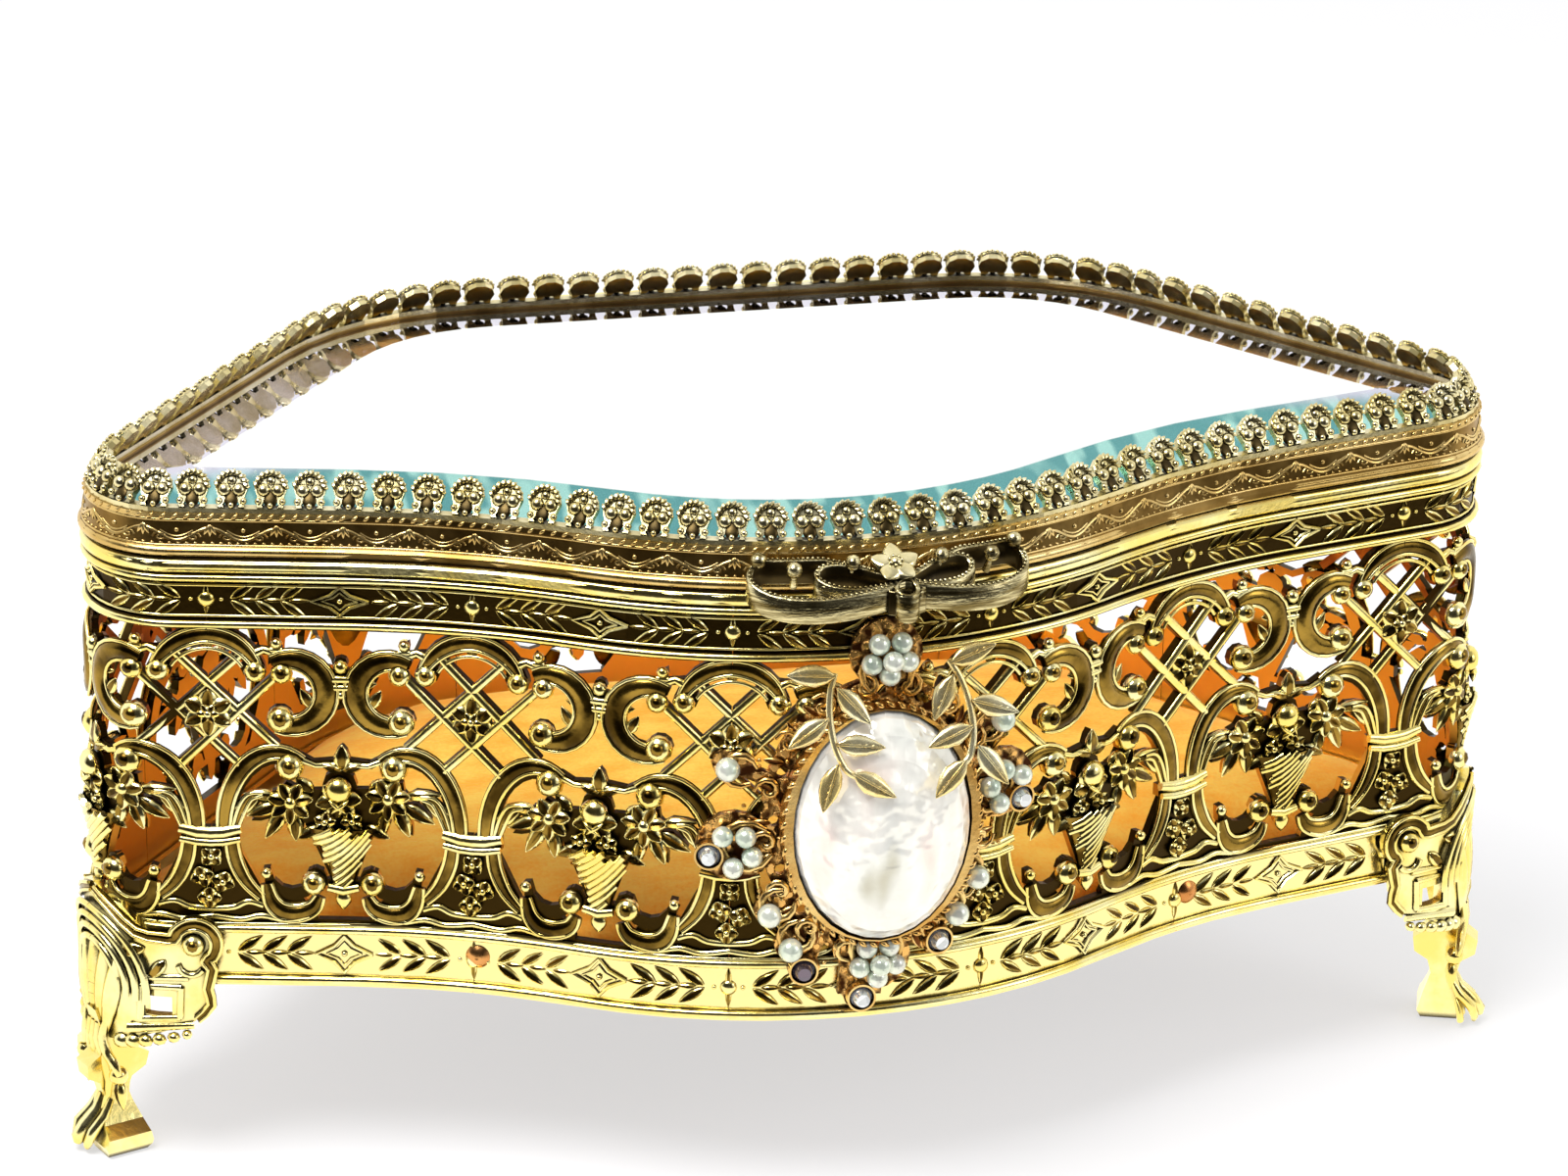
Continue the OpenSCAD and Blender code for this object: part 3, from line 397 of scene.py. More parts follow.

# %% [markdown]
# Glass is hard to fake with one colour. The flat middle of the pane mirrors the white room when it is seen at a
# low angle and clears when seen from above, which a Layer Weight node drives. The ground bevel is tinted by
# where it lies: green-blue at the front, where the tint is partly thick glass seen edgeways and partly a painted
# reflection of the gallery, and pale violet at the back. The streaky mix of dark and light teal is a painted
# refraction of the gallery's tips. What is left clear hardly bends light (IOR 1.02), so the velvet below stays
# where the camera expects it.

# %% Glass pane


def pane_glass():
    f = Finish("bevelled_glass", "clear_glass")
    low, high = (corner.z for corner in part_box("lid_glass"))
    above_foot = f.steps(f.coordinate(2), low + 0.0002, low + 0.0006)
    on_bevel = above_foot * (1 - f.steps(f.coordinate(2), high - 0.00006, high - 0.00001))
    front = 1 - f.steps(f.coordinate(1), -0.012, -0.006)
    # Painted refraction: streaks in the bevel's teal stand for the gallery's tips seen through the glass.
    streak = f.steps(f.cloud(3.2, detail=1.0, stretch=(1, 0.3, 1)), 0.45, 0.6)
    teal = f.blend(streak, colour(96, 168, 170), colour(172, 230, 222))
    tint = f.blend(front, colour(232, 228, 248), teal)
    body = f.blend(on_bevel, (0.96, 0.98, 0.98, 1), tint)
    edge_on = f.node("LayerWeight", {"Blend": 0.5}, output=1)
    mirror_share = f.steps(edge_on, 0.1, 0.55) * (0.94 - on_bevel * 0.14)
    solid = f.shader(Base_Color=body, Roughness=0.02, IOR=1.02, Transmission_Weight=1.0)
    passing = f.node("LightPath", output="Is Shadow Ray") + f.node("LightPath", output="Is Diffuse Ray")
    clear = f.node("BsdfTransparent", {"Color": (0.9, 0.93, 0.93, 1)})
    glass = f.node("MixShader", {0: passing, 1: solid, 2: clear})
    mirror = f.shader(Base_Color=body, Metallic=1.0, Roughness=0.03)
    return f.done(f.node("MixShader", {0: mirror_share, 1: glass, 2: mirror}))


pane = pane_glass()
print("made", pane.material.name)

# %% [markdown]
# The pad's velvet is a short golden pile, mottled where it was brushed both ways, with a pale sheen at
# grazing angles. Felt and raw board are plain fibres. Noise at two sizes gives all three: clouds for the
# brushing and a fine speck for the pile itself.

# %% Cloth and board


def cloth(name, slot, low, high, brush_mm, pile_mm, sheen, depth_mm):
    f = Finish(name, slot)
    brushed = f.cloud(brush_mm, detail=4.0, stretch=(0.8, 1.3, 1))
    pile = f.cloud(pile_mm, detail=1.0)
    tint = f.blend(f.steps(brushed * 0.75 + pile * 0.25, 0.3, 0.68), low, high)
    return f.done(f.shader(Base_Color=tint, Roughness=0.86 - brushed * 0.1, Sheen_Weight=sheen,
                           Sheen_Roughness=0.4, Normal=f.bump(pile, depth_mm)))


VELVET_LOW, VELVET_HIGH = colour(252, 170, 40), colour(255, 206, 84)
velvet = cloth("gold_velvet", "gold_velvet", VELVET_LOW, VELVET_HIGH, 6.0, 0.5, 0.2, 0.1)
felt = cloth("felt_cloth", "felt_cloth", colour(96, 72, 44), colour(140, 110, 72), 4.0, 0.4, 0.2, 0.15)
board = cloth("pad_board", "pad_board", colour(160, 130, 92), colour(196, 170, 130), 3.0, 0.6, 0.0, 0.08)
print("cloths", [f.material.name for f in (velvet, felt, board)])

# %% [markdown]
# Imitation pearl and the dented cabochon are glass under a pearly coat: pale tones that swirl into each other, a
# little metallic, below a clear coat. The stones are foiled glass, so they are near mirrors in small flat
# facets. A Voronoi pattern paints a reflection on each facet, darker on some than on others, and the one on the
# lower left is dark.

# %% Pearl, nacre and cut stones


def nacre(name, slot, tones, rough, ripple_mm, swirl_mm, dent_mm, metallic):
    f = Finish(name, slot)
    swirl = f.cloud(swirl_mm, detail=2.0, stretch=(1, 1, 0.55))
    body = f.node("ValToRGB", {0: swirl}, stops=tones)
    ripple = f.cloud(ripple_mm, detail=1.5)
    return f.done(f.shader(Base_Color=body, Roughness=swirl * 0.12 + rough,
                           Coat_Weight=0.8, Coat_Roughness=0.08, Metallic=metallic,
                           Normal=f.bump(ripple, dent_mm)))


def cut_stone(name, slot):
    f = Finish(name, slot)
    facet = f.node("TexVoronoi", {"Vector": f.place(), "Scale": 1 / (0.9 * MM)}, output=1, feature="F1")
    # Painted reflections: each Voronoi facet is darkened by a different amount.
    painted_facet_glint = f.node("RGBToBW", {0: facet})
    left = 0 - f.coordinate(0)
    dark = f.steps(left, 0.006, 0.0068) * (1 - f.steps(left, 0.0085, 0.0105))
    tint = f.blend(dark, (0.86, 0.9, 0.96, 1), (0.16, 0.11, 0.16, 1))
    return f.done(f.shader(Base_Color=f.blend(painted_facet_glint * 0.55, tint, (0.1, 0.11, 0.14, 1)), Metallic=0.75,
                           Roughness=painted_facet_glint * 0.1 + 0.04, Coat_Weight=1.0, Coat_Roughness=0.02))


PEARL_TONES = [(0.3, colour(186, 200, 182)), (0.52, colour(232, 238, 222)), (0.7, colour(214, 214, 204))]
SHELL_TONES = [(0.3, colour(188, 184, 164)), (0.42, colour(228, 228, 220)), (0.6, colour(250, 246, 236)),
               (0.75, colour(238, 216, 206))]
pearl_skin = nacre("imitation_pearl", "imitation_pearl", PEARL_TONES, 0.16, 1.2, 2.4, 0.05, 0.5)
shell_skin = nacre("shell_nacre", "moon_glass", SHELL_TONES, 0.14, 3.4, 8.0, 1.1, 0.3)
stones = cut_stone("cut_glass", "cut_glass")
print("finishes", len(bpy.data.materials))

# %% [markdown]
# The solids of the frame are never moved or reshaped. They only get their finish here, by name.

# %% Dress the frame
DRESS = {
    sheet_gilt: ["wall_front", "wall_left", "wall_right", "wall_back"],
    gilt: ["body_rim", "base_pan", "hinge_body_leaf", "hinge_lid_leaf", "foot_front_left", "foot_front_right",
           "foot_back_left", "foot_back_right"],
    shaded_band_brass: ["lid_frame"],
    antique: ["lid_gallery", "thumb_bow", "bow_flower", "bow_beads"],
    lace: ["brooch_plate"],
    rose_gilt: ["cabochon_bezel", "leaf_spray_left", "leaf_spray_right", "stone_cups"],
    copper: ["pan_rivets"], steel: ["hinge_pin"], pane: ["lid_glass"], velvet: ["velvet_pad"],
    felt: ["underside_cloth"], board: ["pad_card"], shell_skin: ["cabochon"], stones: ["cut_stones"],
    pearl_skin: ["pearls_top", "pearls_left", "pearls_right", "pearls_bottom", "pearls_single"],
}
for finish, names in DRESS.items():
    for name in names:
        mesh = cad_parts[name].data
        mesh.materials.clear()
        mesh.materials.append(finish.material)
print("dressed", sum(len(names) for names in DRESS.values()), "of", len(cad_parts), "nodes")

# %% [markdown]
# Ornament is drawn in millimetres on a flat die: X along, Y up and Z towards the eye. Scrolls and stems
# are curves with a round bevel that swells and thins, turned into a mesh and pressed a little flatter.
# Leaves, petals, buds and beads all start as one small sphere that is drawn out, pointed and creased.
# Such closed shapes may sink into the sheet, as raised work does, so nothing has to be joined.

# %% Scrolls and stems


def arc(centre, rx, ry, start, end, count=9):
    """Points on an ellipse between two angles."""
    angles = [start + (end - start) * i / count for i in range(count + 1)]
    return [polar(angle, rx, ry, centre) for angle in angles]


def swell(first, thick, count, last=None):
    """Half widths that grow to the middle of a stroke and thin out again."""
    last = first if last is None else last
    return [first + (last - first) * i / count + (thick - (first + last) / 2) * sine(180 * i / count)
            for i in range(count + 1)]


def rounded(corners, count=4):
    """Smooth points through a few corners, as a Catmull-Rom spline gives them."""
    knots = [corners[0], *corners, corners[-1]]
    points = []
    for a, b, c, d in zip(knots, knots[1:], knots[2:], knots[3:]):
        for i in range(count):
            t = i / count
            points.append(tuple(0.5 * (2 * q + (r - p) * t + (2 * p - 5 * q + 4 * r - s) * t * t
                                       + (3 * q - p - 3 * r + s) * t ** 3) for p, q, r, s in zip(a, b, c, d)))
    return points + [tuple(corners[-1])]


def beside(points, offsets):
    """The same stroke moved to its left by an offset at each point."""
    moved = []
    for i, (x, y) in enumerate(points):
        before, after = points[max(i - 1, 0)], points[min(i + 1, len(points) - 1)]
        dx, dy = after[0] - before[0], after[1] - before[1]
        reach = offsets[i] / max(math.hypot(dx, dy), 1e-6)
        moved.append((x - dy * reach, y + dx * reach))
    return moved


print("a stroke swells like this", [round(w, 2) for w in swell(0.5, 1.0, 4)])

# %% [markdown]
# A stroke becomes a tube in a curve object, whose bevel and caps are ready made. It could be swept by
# hand, as the ribbon is further on, but here a round section is just what is wanted.

# %% Strokes as tubes


def add_strokes(bm, strokes, press=0.8, roundness=2, hollow=False):
    """Adds tubes along (points, half widths, height) strokes. press is depth over width."""
    data = bpy.data.curves.new("strokes", "CURVE")
    data.dimensions = "3D"
    data.bevel_depth = 1.0
    data.bevel_resolution = roundness
    data.use_fill_caps = True
    for points, widths, height in strokes:
        spline = data.splines.new("POLY")
        spline.points.add(len(points) - 1)
        for i, (point, (x, y)) in enumerate(zip(spline.points, points)):
            lift = height[i] if isinstance(height, list) else height
            point.co = (x, y, lift / press, 1)
            point.radius = widths[i] if isinstance(widths, list) else widths
    holder = bpy.data.objects.new("strokes", data)
    mesh = bpy.data.meshes.new_from_object(holder)
    mesh.transform(Matrix.Diagonal((1, 1, press, 1)))
    # With hollow, every face goes on the second finish, a darker copy that paints shade.
    mesh.polygons.foreach_set("material_index", [int(hollow)] * len(mesh.polygons))
    bm.from_mesh(mesh)
    bpy.data.objects.remove(holder)
    bpy.data.curves.remove(data)
    bpy.data.meshes.remove(mesh)


def add_grooved(bm, scrolls, lip=0.24, rise=0.42, floor=0.26):
    """Adds ribbed scrolls: a broad body and a round rib along it, both painted dark as shade, and a raised lip
    on each edge.
    """
    bodies, ridges, lips = [], [], []
    for points, widths in scrolls:
        bodies.append((points, widths, 0.02))
        ridges.append((points, [max(w - 1.6 * lip, 0.1) for w in widths], 0.3))
        inset = [max(w - lip, 0.05) for w in widths]
        lips.append((beside(points, inset), lip, rise))
        lips.append((beside(points, [-w for w in inset]), lip, rise))
    add_strokes(bm, bodies, press=floor, hollow=True)
    add_strokes(bm, ridges, press=0.55, hollow=True)
    add_strokes(bm, lips, press=0.95)


trial = bmesh.new()
add_grooved(trial, [([(0, 0), (5, 1)], [0.8, 1.2])])
print("a short grooved scroll has", len(trial.faces), "faces")
trial.free()

# %% [markdown]
# A die-sinker cuts leaves and petals with a few punches. One sphere does for all of them here: it is
# drawn out to a length, narrowed to a point, creased down the middle and cupped. Sculpting each would
# look livelier, but there are hundreds, so a function with a few measures is the better tool.

# %% Leaves, petals and beads


def darken(bm, start):
    """Gives each face from a number on the second material, the darker copy that paints shade."""
    bm.faces.ensure_lookup_table()
    for face in bm.faces[start:]:
        face.material_index = 1


def add_bead(bm, centre, radius, rise=None, z=0.0, rounds=8):
    """A bead or dome. rise is its height where that isn't its radius."""
    rise = radius if rise is None else rise
    spot = Matrix.Translation((centre[0], centre[1], z)) @ Matrix.Diagonal((radius, radius, rise, 1))
    bmesh.ops.create_uvsphere(bm, u_segments=rounds, v_segments=max(4, rounds // 2), radius=1, matrix=spot)


def add_eye(bm, centre, radius, z=0.3):
    """A round boss with an eye in it, painted dark as shade."""
    add_bead(bm, centre, radius, radius * 0.8, z, rounds=12)
    start = len(bm.faces)
    add_bead(bm, (centre[0], centre[1] + radius * 0.12), radius * 0.6, radius * 0.5, z + radius * 0.42)
    darken(bm, start)


def add_leaf(bm, base, angle, length, width, rise=0.5, z=0.0, vein=0.45, point=0.8, cup=0.0,
             around=12, rings=7):
    """A leaf or petal from its base along an angle, creased down the middle; with vein over 0.3, the crease's
    top faces carry painted shade.
    """
    lying = Matrix.Rotation(math.pi / 2, 4, "Y")
    made = bmesh.ops.create_uvsphere(bm, u_segments=around, v_segments=rings, radius=1, matrix=lying)["verts"]
    # Painted shade: the top faces along the middle go on the second, darker material.
    for face in {face for vert in made for face in vert.link_faces}:
        middle = face.calc_center_median()
        face.material_index = int(middle.z > 0.1 and abs(middle.y) < 0.3 and abs(middle.x) < 0.8 and vein > 0.3)
    for vert in made:
        x, y, up = vert.co
        slim = max(0.0, 1 - x * x) ** (point / 2) * (1 - 0.28 * x)
        crease = vein * max(0.0, 1 - 2.2 * abs(y)) * (1 if up > 0 else 0)
        vert.co = ((x + 1) * length / 2, y * slim * width / 2, (up * (1 - crease) * slim + cup * x * x) * rise)
    spot = Matrix.Translation((base[0], base[1], z)) @ Matrix.Rotation(math.radians(angle), 4, "Z")
    bmesh.ops.transform(bm, matrix=spot, verts=made)


def add_flower(bm, centre, radius, petals=6, rise=0.5, z=0.0, turn=0.0, heart=0.3):
    """A flower of round hollow petals about a domed heart, with painted shade down each petal's middle."""
    for i in range(petals):
        angle = turn + 360 * i / petals
        start = polar(angle, radius * 0.2, centre=centre)
        add_leaf(bm, start, angle, radius * 0.85, radius * 5.2 / petals, rise, z, vein=0.8, point=0.3, cup=0.5)
    add_bead(bm, centre, radius * heart, rise * 0.9, z + rise * 0.5, rounds=8)


def add_mirrored(bm):
    """Adds the left half of a drawing, as the mirror image of its right half."""
    bmesh.ops.mirror(bm, geom=bm.verts[:] + bm.edges[:] + bm.faces[:], axis="X", merge_dist=-1)


trial = bmesh.new()
add_flower(trial, (0, 0), 2.0)
print("a flower of six petals has", len(trial.faces), "faces")
trial.free()

# %% [markdown]
# What is drawn once and set many times, such as a bead of a rope or a whole panel, becomes a mesh of its
# own and is copied to its places. Arrays and instances would be lighter, but each copy has to bend with
# the wall. At the end all copies of a kind are joined to one piece that rides on its body.

# %% From a drawing to a piece


def as_mesh(bm, name):
    """Ends a drawing and gives it back as a mesh."""
    bmesh.ops.recalc_face_normals(bm, faces=bm.faces)
    mesh = bpy.data.meshes.new(name)
    bm.to_mesh(mesh)
    bm.free()
    return mesh


def lay(bm, mesh, places, keep=False):
    """Adds a copy of a mesh at each place: a matrix, or what bend() takes to lay it round the wall."""
    for place in places:
        laid = mesh.copy()
        if isinstance(place, Matrix):
            laid.transform(place)
        else:
            bend(laid, *place)
        bm.from_mesh(laid)
        bpy.data.meshes.remove(laid)
    if not keep:
        bpy.data.meshes.remove(mesh)


def new_object(name, data):
    made = bpy.data.objects.new(name, data)
    bpy.context.scene.collection.objects.link(made)
    return made


def to_piece(bm, name, body, finish, hollow=None):
    """Makes the finished object, tidies its normals and sets it riding on its body."""
    mesh = as_mesh(bm, name)
    mesh.polygons.foreach_set("use_smooth", [True] * len(mesh.polygons))
    mesh.set_sharp_from_angle(angle=math.radians(50))
    mesh.materials.append(finish.material)
    # A second finish is the darker copy that paints shade on faces numbered 1.
    if hollow:
        mesh.materials.append(hollow.material)
    made = new_object(name, mesh)
    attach(made, body)
    print(name, len(mesh.polygons), "faces")
    return made


# %% [markdown]
# The openwork repeats every 32 mm: a flower basket in a roundel, under a bud and a trellis, with a pair of big
# C-scrolls, a crescent over each collar and horned scrolls below. The right half is drawn and mirrored. The big
# scrolls are hollow, with a raised lip on each edge; their bodies carry painted shade, which gives stamped work
# its dark channels between bright lines. The flowers and the basket lean, so they aren't mirrored.

# %% One half of the openwork
DRAWN_W = 32.0
COLLAR = DRAWN_W / 2


def half_scrolls():
    """Hollow scrolls of the right half, as (points, half widths)."""
    return [
        (arc((6.1, 30.5), 4.35, 4.4, 62, 292, 16), swell(1.25, 1.65, 16, 1.3)),
        (arc((COLLAR, 31.4), 6.4, 6.5, 158, 90, 9), swell(0.75, 1.15, 9, 1.15)),
        (arc((7.9, 12.6), 6.5, 10.1, -4, 118, 16), swell(1.0, 1.2, 16, 0.9)),
        (rounded([(COLLAR - 3, 12.6), (12.2, 15), (11.2, 16.7), (9.6, 17.1)]), swell(0.55, 0.7, 12, 0.4)),
        (rounded([(13.5, 11), (13.1, 8.4), (11.9, 5.6), (10, 3.4)]), swell(0.95, 1.0, 12, 0.7)),
        (rounded([(2.9, 3.6), (3.7, 2.1), (5.6, 1.3), (7.6, 1.6), (8.8, 3), (9.3, 5.2)]),
         swell(0.8, 1.35, 20, 0.8)),
    ]


def half_lines():
    """Plain round strokes of the right half, as (points, half widths, height)."""
    bar = 0.56
    return [
        ([(7.8, 23.3), (COLLAR + 4.2, 35.7)], bar, 0.1),
        ([(7.6, 32.7), (COLLAR + 4, 20.3)], bar, 0.16),
        (arc((COLLAR, 31.2), 4.9, 4.9, 148, 90, 8), 0.24, 0.35),
        ([(5.2, 21.7), (3.2, 20.9), (0.8, 21)], [0.4, 0.34, 0.4], 0.2),
        ([(8.2, 35.6), (9.2, 36), (10.2, 35.5)], [0.5, 0.45, 0.6], 0.2),
        ([(COLLAR - 3.7, 12.5), (COLLAR - 1.6, 12.0), (COLLAR + 0.2, 11.9)], [0.6, 0.8, 0.8], 0.5),
        ([(COLLAR - 3.6, 11.2), (COLLAR - 1.6, 10.8), (COLLAR + 0.2, 10.7)], [0.4, 0.5, 0.5], 0.75),
        (rounded([(4.2, 0.9), (7, 0.3), (10, 0.9), (12.6, 0.35), (COLLAR + 0.1, 0.8)]), 0.36, 0.35),
        (rounded([(9.8, 2.2), (11.6, 2.7), (13.4, 1.9), (COLLAR, 1.7)]), 0.42, 0.2),
    ]


def add_half(bm):
    add_grooved(bm, half_scrolls())
    add_strokes(bm, half_lines())
    for centre, radius in (((7.3, 27), 1.75), ((7.1, 33), 1.4), ((6.3, 20.8), 1.8), ((10.3, 33.2), 1.4),
                           ((3.6, 5.4), 1.6)):
        add_eye(bm, centre, radius)
    add_bead(bm, (9.35, 6.6), 0.75, 0.7, 0.3)
    add_bead(bm, (7.7, 36.9), 0.75, 0.7, 0.3)
    add_strokes(bm, [([(7, 36), (8.4, 36)], 0.34, 0.3)])
    add_leaf(bm, (5.4, 33.8), 30, 2.6, 1.5, 0.5, 0.25)
    add_leaf(bm, (3.4, 28.4), 60, 3.0, 1.5, 0.4, 0.25)
    add_leaf(bm, (13.6, 14.2), 146, 4.4, 2.1, 0.6)
    add_leaf(bm, (2.2, 31.4), 8, 2.2, 1.2)


print("half a panel has", len(half_scrolls()), "scrolls and", len(half_lines()), "plain lines")

# %% [markdown]
# The basket is half a turned body, slim below and flared at its rim, wound with slanting cords. Its body
# is made of rings that are bridged, and each cord is a stroke that follows the body's own swell, so it
# stays on the surface.

# %% The basket
BASKET_Z, BASKET_H, BASKET_DEEP = 4.6, 8.4, 0.42
CORDS = 13


def basket_r(v):
    """Half width of the basket at a height: slim below, flared at the rim."""
    share = min(max((v - BASKET_Z) / BASKET_H, 0), 1)
    return 1.35 + 3.2 * share ** 1.5


def add_basket(bm):
    rows = [bmesh.ops.create_circle(bm, segments=16, radius=1)["verts"] for _ in range(9)]
    for i, row in enumerate(rows):
        v = BASKET_Z + BASKET_H * i / (len(rows) - 1)
        for j, vert in enumerate(row):
            turn = 2 * math.pi * j / len(row)
            vert.co = (basket_r(v) * math.cos(turn), v, basket_r(v) * BASKET_DEEP * math.sin(turn))
    rings = [edge for row in rows for edge in {edge for vert in row for edge in vert.link_edges}]
    # The basket's body goes on the second material, painted shade, so the cords stand bright on it.
    for face in bmesh.ops.bridge_loops(bm, edges=rings)["faces"]:
        face.material_index = 1
    cords = []
    for i in range(CORDS):
        start = 1.2 + 1.0 * i
        points = []
        heights = []
        for j in range(9):
            u = -4.4 + 8.8 * j / 8
            v = start + (u + 4.4) * 0.92 - 1.2 * math.sin(math.pi * j / 8)
            edge = 1 - (u / basket_r(v)) ** 2 if abs(u) < basket_r(v) else -1
            if edge >= 0 and 4.4 < v < 13.2:
                points.append((u, v))
                heights.append(basket_r(v) * BASKET_DEEP * math.sqrt(edge) + 0.1)
        if len(points) > 1:
            cords.append((points, [0.2 + 0.022 * v for _, v in points], heights))
    add_strokes(bm, cords)


print("the basket is", [round(2 * basket_r(v), 1) for v in (BASKET_Z, BASKET_Z + BASKET_H)], "mm wide")

# %% [markdown]
# Flowers fill the basket and hang over its rim, and small ones mark the panel's edge. They are drawn
# whole, one by one, because on the real casket they lean and overlap as cut flowers do.

# %% What stands on the middle line and on the edge


def add_middle(bm):
    add_basket(bm)
    add_strokes(bm, [([(-1.0, 32.3), (1.0, 32.3)], 0.5, 0.3), ([(-0.85, 31.2), (0.85, 31.2)], 0.42, 0.35),
                     ([(-1.9, 4.9), (0, 4.5), (1.9, 4.9)], [0.5, 0.62, 0.5], 0.55)])
    add_bead(bm, (0, 33.9), 0.95, 0.9, 0.2)
    add_bead(bm, (0, 30.2), 0.55, 0.5, 0.2, rounds=6)
    add_leaf(bm, (0, 4.5), -90, 2.7, 2.1, 0.7, 0.2, vein=0)
    for angle, length, width in ((90, 3.4, 2.1), (18, 2.9, 1.3), (162, 2.9, 1.3)):
        add_leaf(bm, (0, 20.3), angle, length, width, 0.6, 0.2)
    for base, angle, length, width in (
            ((-7, 15), -122, 4.6, 2.0), ((-7.4, 15.8), -158, 4.6, 1.9), ((-5.8, 14.4), -88, 3.6, 2.1),
            ((6.6, 15.6), -68, 4.2, 2.1), ((7.2, 16), -30, 4.8, 2.0), ((5.2, 14.8), -100, 3.4, 1.8),
            ((7.4, 17.2), 4, 4.8, 1.6), ((-7.8, 16.8), 176, 4.2, 1.6), ((-3.4, 17.4), 140, 3.0, 1.8),
            ((3.2, 17.6), 34, 3.0, 1.8), ((-2.6, 12.8), -152, 3.4, 1.7), ((2.8, 13), -28, 3.4, 1.7)):
        add_leaf(bm, base, angle, length, width, 0.6, 0.15, vein=0.7)
    for centre in ((-6.3, 16.1), (5.6, 16.8)):
        add_flower(bm, centre, 2.7, 7, 0.65, 0.45, turn=12)
    add_flower(bm, (-0.4, 16.4), 2.7, 6, 0.6, 0.5, turn=8, heart=0.2)
    add_bead(bm, (-0.4, 18), 1.75, 1.3, 0.9, rounds=12)
    add_leaf(bm, (-1.6, 17), -40, 2.9, 0.7, 0.6, 1.5, vein=0)
    add_leaf(bm, (0.9, 17), -140, 2.9, 0.7, 0.6, 1.5, vein=0)
    for centre in ((-2.1, 13.7), (1.2, 13.8)):
        add_flower(bm, centre, 1.35, 5, 0.6, 0.7, turn=centre[0] * 30, heart=0.4)


def add_collar(bm):
    """The flower on the trellis and the small bouquet between the ribs, on a panel's edge."""
    add_flower(bm, (COLLAR, 27.8), 2.9, 6, 0.7, 0.25, turn=30, heart=0.26)
    add_flower(bm, (COLLAR, 27.8), 1.3, 6, 0.5, 0.8, heart=0.4)
    for x, y, turn in ((0, 8.8, 45), (-1.1, 6.1, 20), (1.3, 5.4, 70), (-0.3, 3.3, 0)):
        add_flower(bm, (COLLAR + x, y), 1.35, 4, 0.55, 0.35, turn=turn, heart=0.36)
    for angle in (66, 90, 114):
        add_leaf(bm, (COLLAR, 36), angle, 2.2, 1.0, 0.5, 0.1)
    for side in (-1, 1):
        add_leaf(bm, (COLLAR + side * 1.0, 12.7), 90 - side * 24, 2.0, 1.2, 0.5, 0.1)


# %% [markdown]
# Both bands carry the same stamped pattern: an outlined lozenge under each basket, three chevrons of
# laurel to each side of it and a round boss on every collar. Long thin mouldings run above and below,
# in one piece, and cover the joints between the panels.

# %% The laurel bands
LOWER_BAND, UPPER_BAND = (-4.2, 5.4), (OPEN_H + 3.45, 3.9)


def add_band(bm, middle, height):
    """Laurel band about a line at middle, as tall as height, for one panel."""
    half = height / 2
    for size, rise in ((1.0, 0.3), (0.62, 0.16)):
        tips = [(3.45, 0), (1.2, half * 0.4), (0, half * 0.92)]
        quarter = [(x * size, y * size) for x, y in tips]
        loop = quarter + [(-x, y) for x, y in quarter[-2::-1]] + [(-x, -y) for x, y in quarter[1:]]
        loop += [(x, -y) for x, y in quarter[-2::-1]]
        add_strokes(bm, [([(x, middle + y) for x, y in loop], 0.2 * size + 0.04, rise)], roundness=1)
    add_bead(bm, (0, middle), 0.42, 0.4, 0.1, rounds=6)
    for side, inward in ((-1, 0), (1, 180)):
        for x in (5.2, 8.2, 11.2):
            for tilt in (-1, 1):
                add_leaf(bm, (side * (x + 1.9), middle + tilt * 0.15), inward - side * tilt * 34, 3.9, 1.25,
                         0.42, 0.05, vein=0.75)
            add_leaf(bm, (side * (x + 0.9), middle), inward, 2.6, 0.7, 0.3, 0.05)
        add_bead(bm, (COLLAR + side * 1.75, middle), 0.32, 0.3, rounds=6)
    add_bead(bm, (COLLAR, middle), 1.05, 0.6, rounds=12)
    for angle in (90, -90):
        add_leaf(bm, (COLLAR, middle), angle, half, 0.8, 0.3)


print("bands, as middle and height above the openwork's foot", LOWER_BAND, UPPER_BAND)

# %% [markdown]
# Mouldings run on without a break, so they are drawn as an outline that is carried round the whole wall.
# A Curve with a bevel object would do it too, but it would need the plan as a curve a second time.

# %% Mouldings, and the wall's relief piece by piece


def add_ring(bm, outline, count=240):
    """A moulding of constant outline, as (out, height) points, closed round the whole wall."""
    rows = [[bm.verts.new(at_wall(s, out, z)) for out, z in outline] for s in spread(count, shift=0)]
    for i, row in enumerate(rows):
        nearby = rows[(i + 1) % count]
        for j in range(len(outline)):
            k = (j + 1) % len(outline)
            bm.faces.new((row[j], nearby[j], nearby[k], row[k]))


def add_tubes(bm, rings, count=240):
    """Round mouldings, as (height, out, radius)."""
    for z, out, radius in rings:
        add_ring(bm, arc((out, z), radius, radius, 0, 315, 7), count)


def make_mouldings():
    bm = bmesh.new()
    add_tubes(bm, [(WALL_Z + 0.75, 0.4, 0.55), (WALL_Z + 7.5, 0.4, 0.55), (OPEN_Z - 0.25, 0.3, 0.3),
                   (TOP_BAND_Z + 0.35, 0.4, 0.5), (TOP_BAND_Z + 1.35, 0.12, 0.2),
                   (WALL_TOP - 0.6, 0.42, 0.5), (WALL_TOP - 1.6, 0.12, 0.2)])
    add_ring(bm, arc((0.3, 79.65), 0.66, 0.96, 0, 324, 9), 360)
    to_piece(bm, "wall_mouldings", "box", gilt)


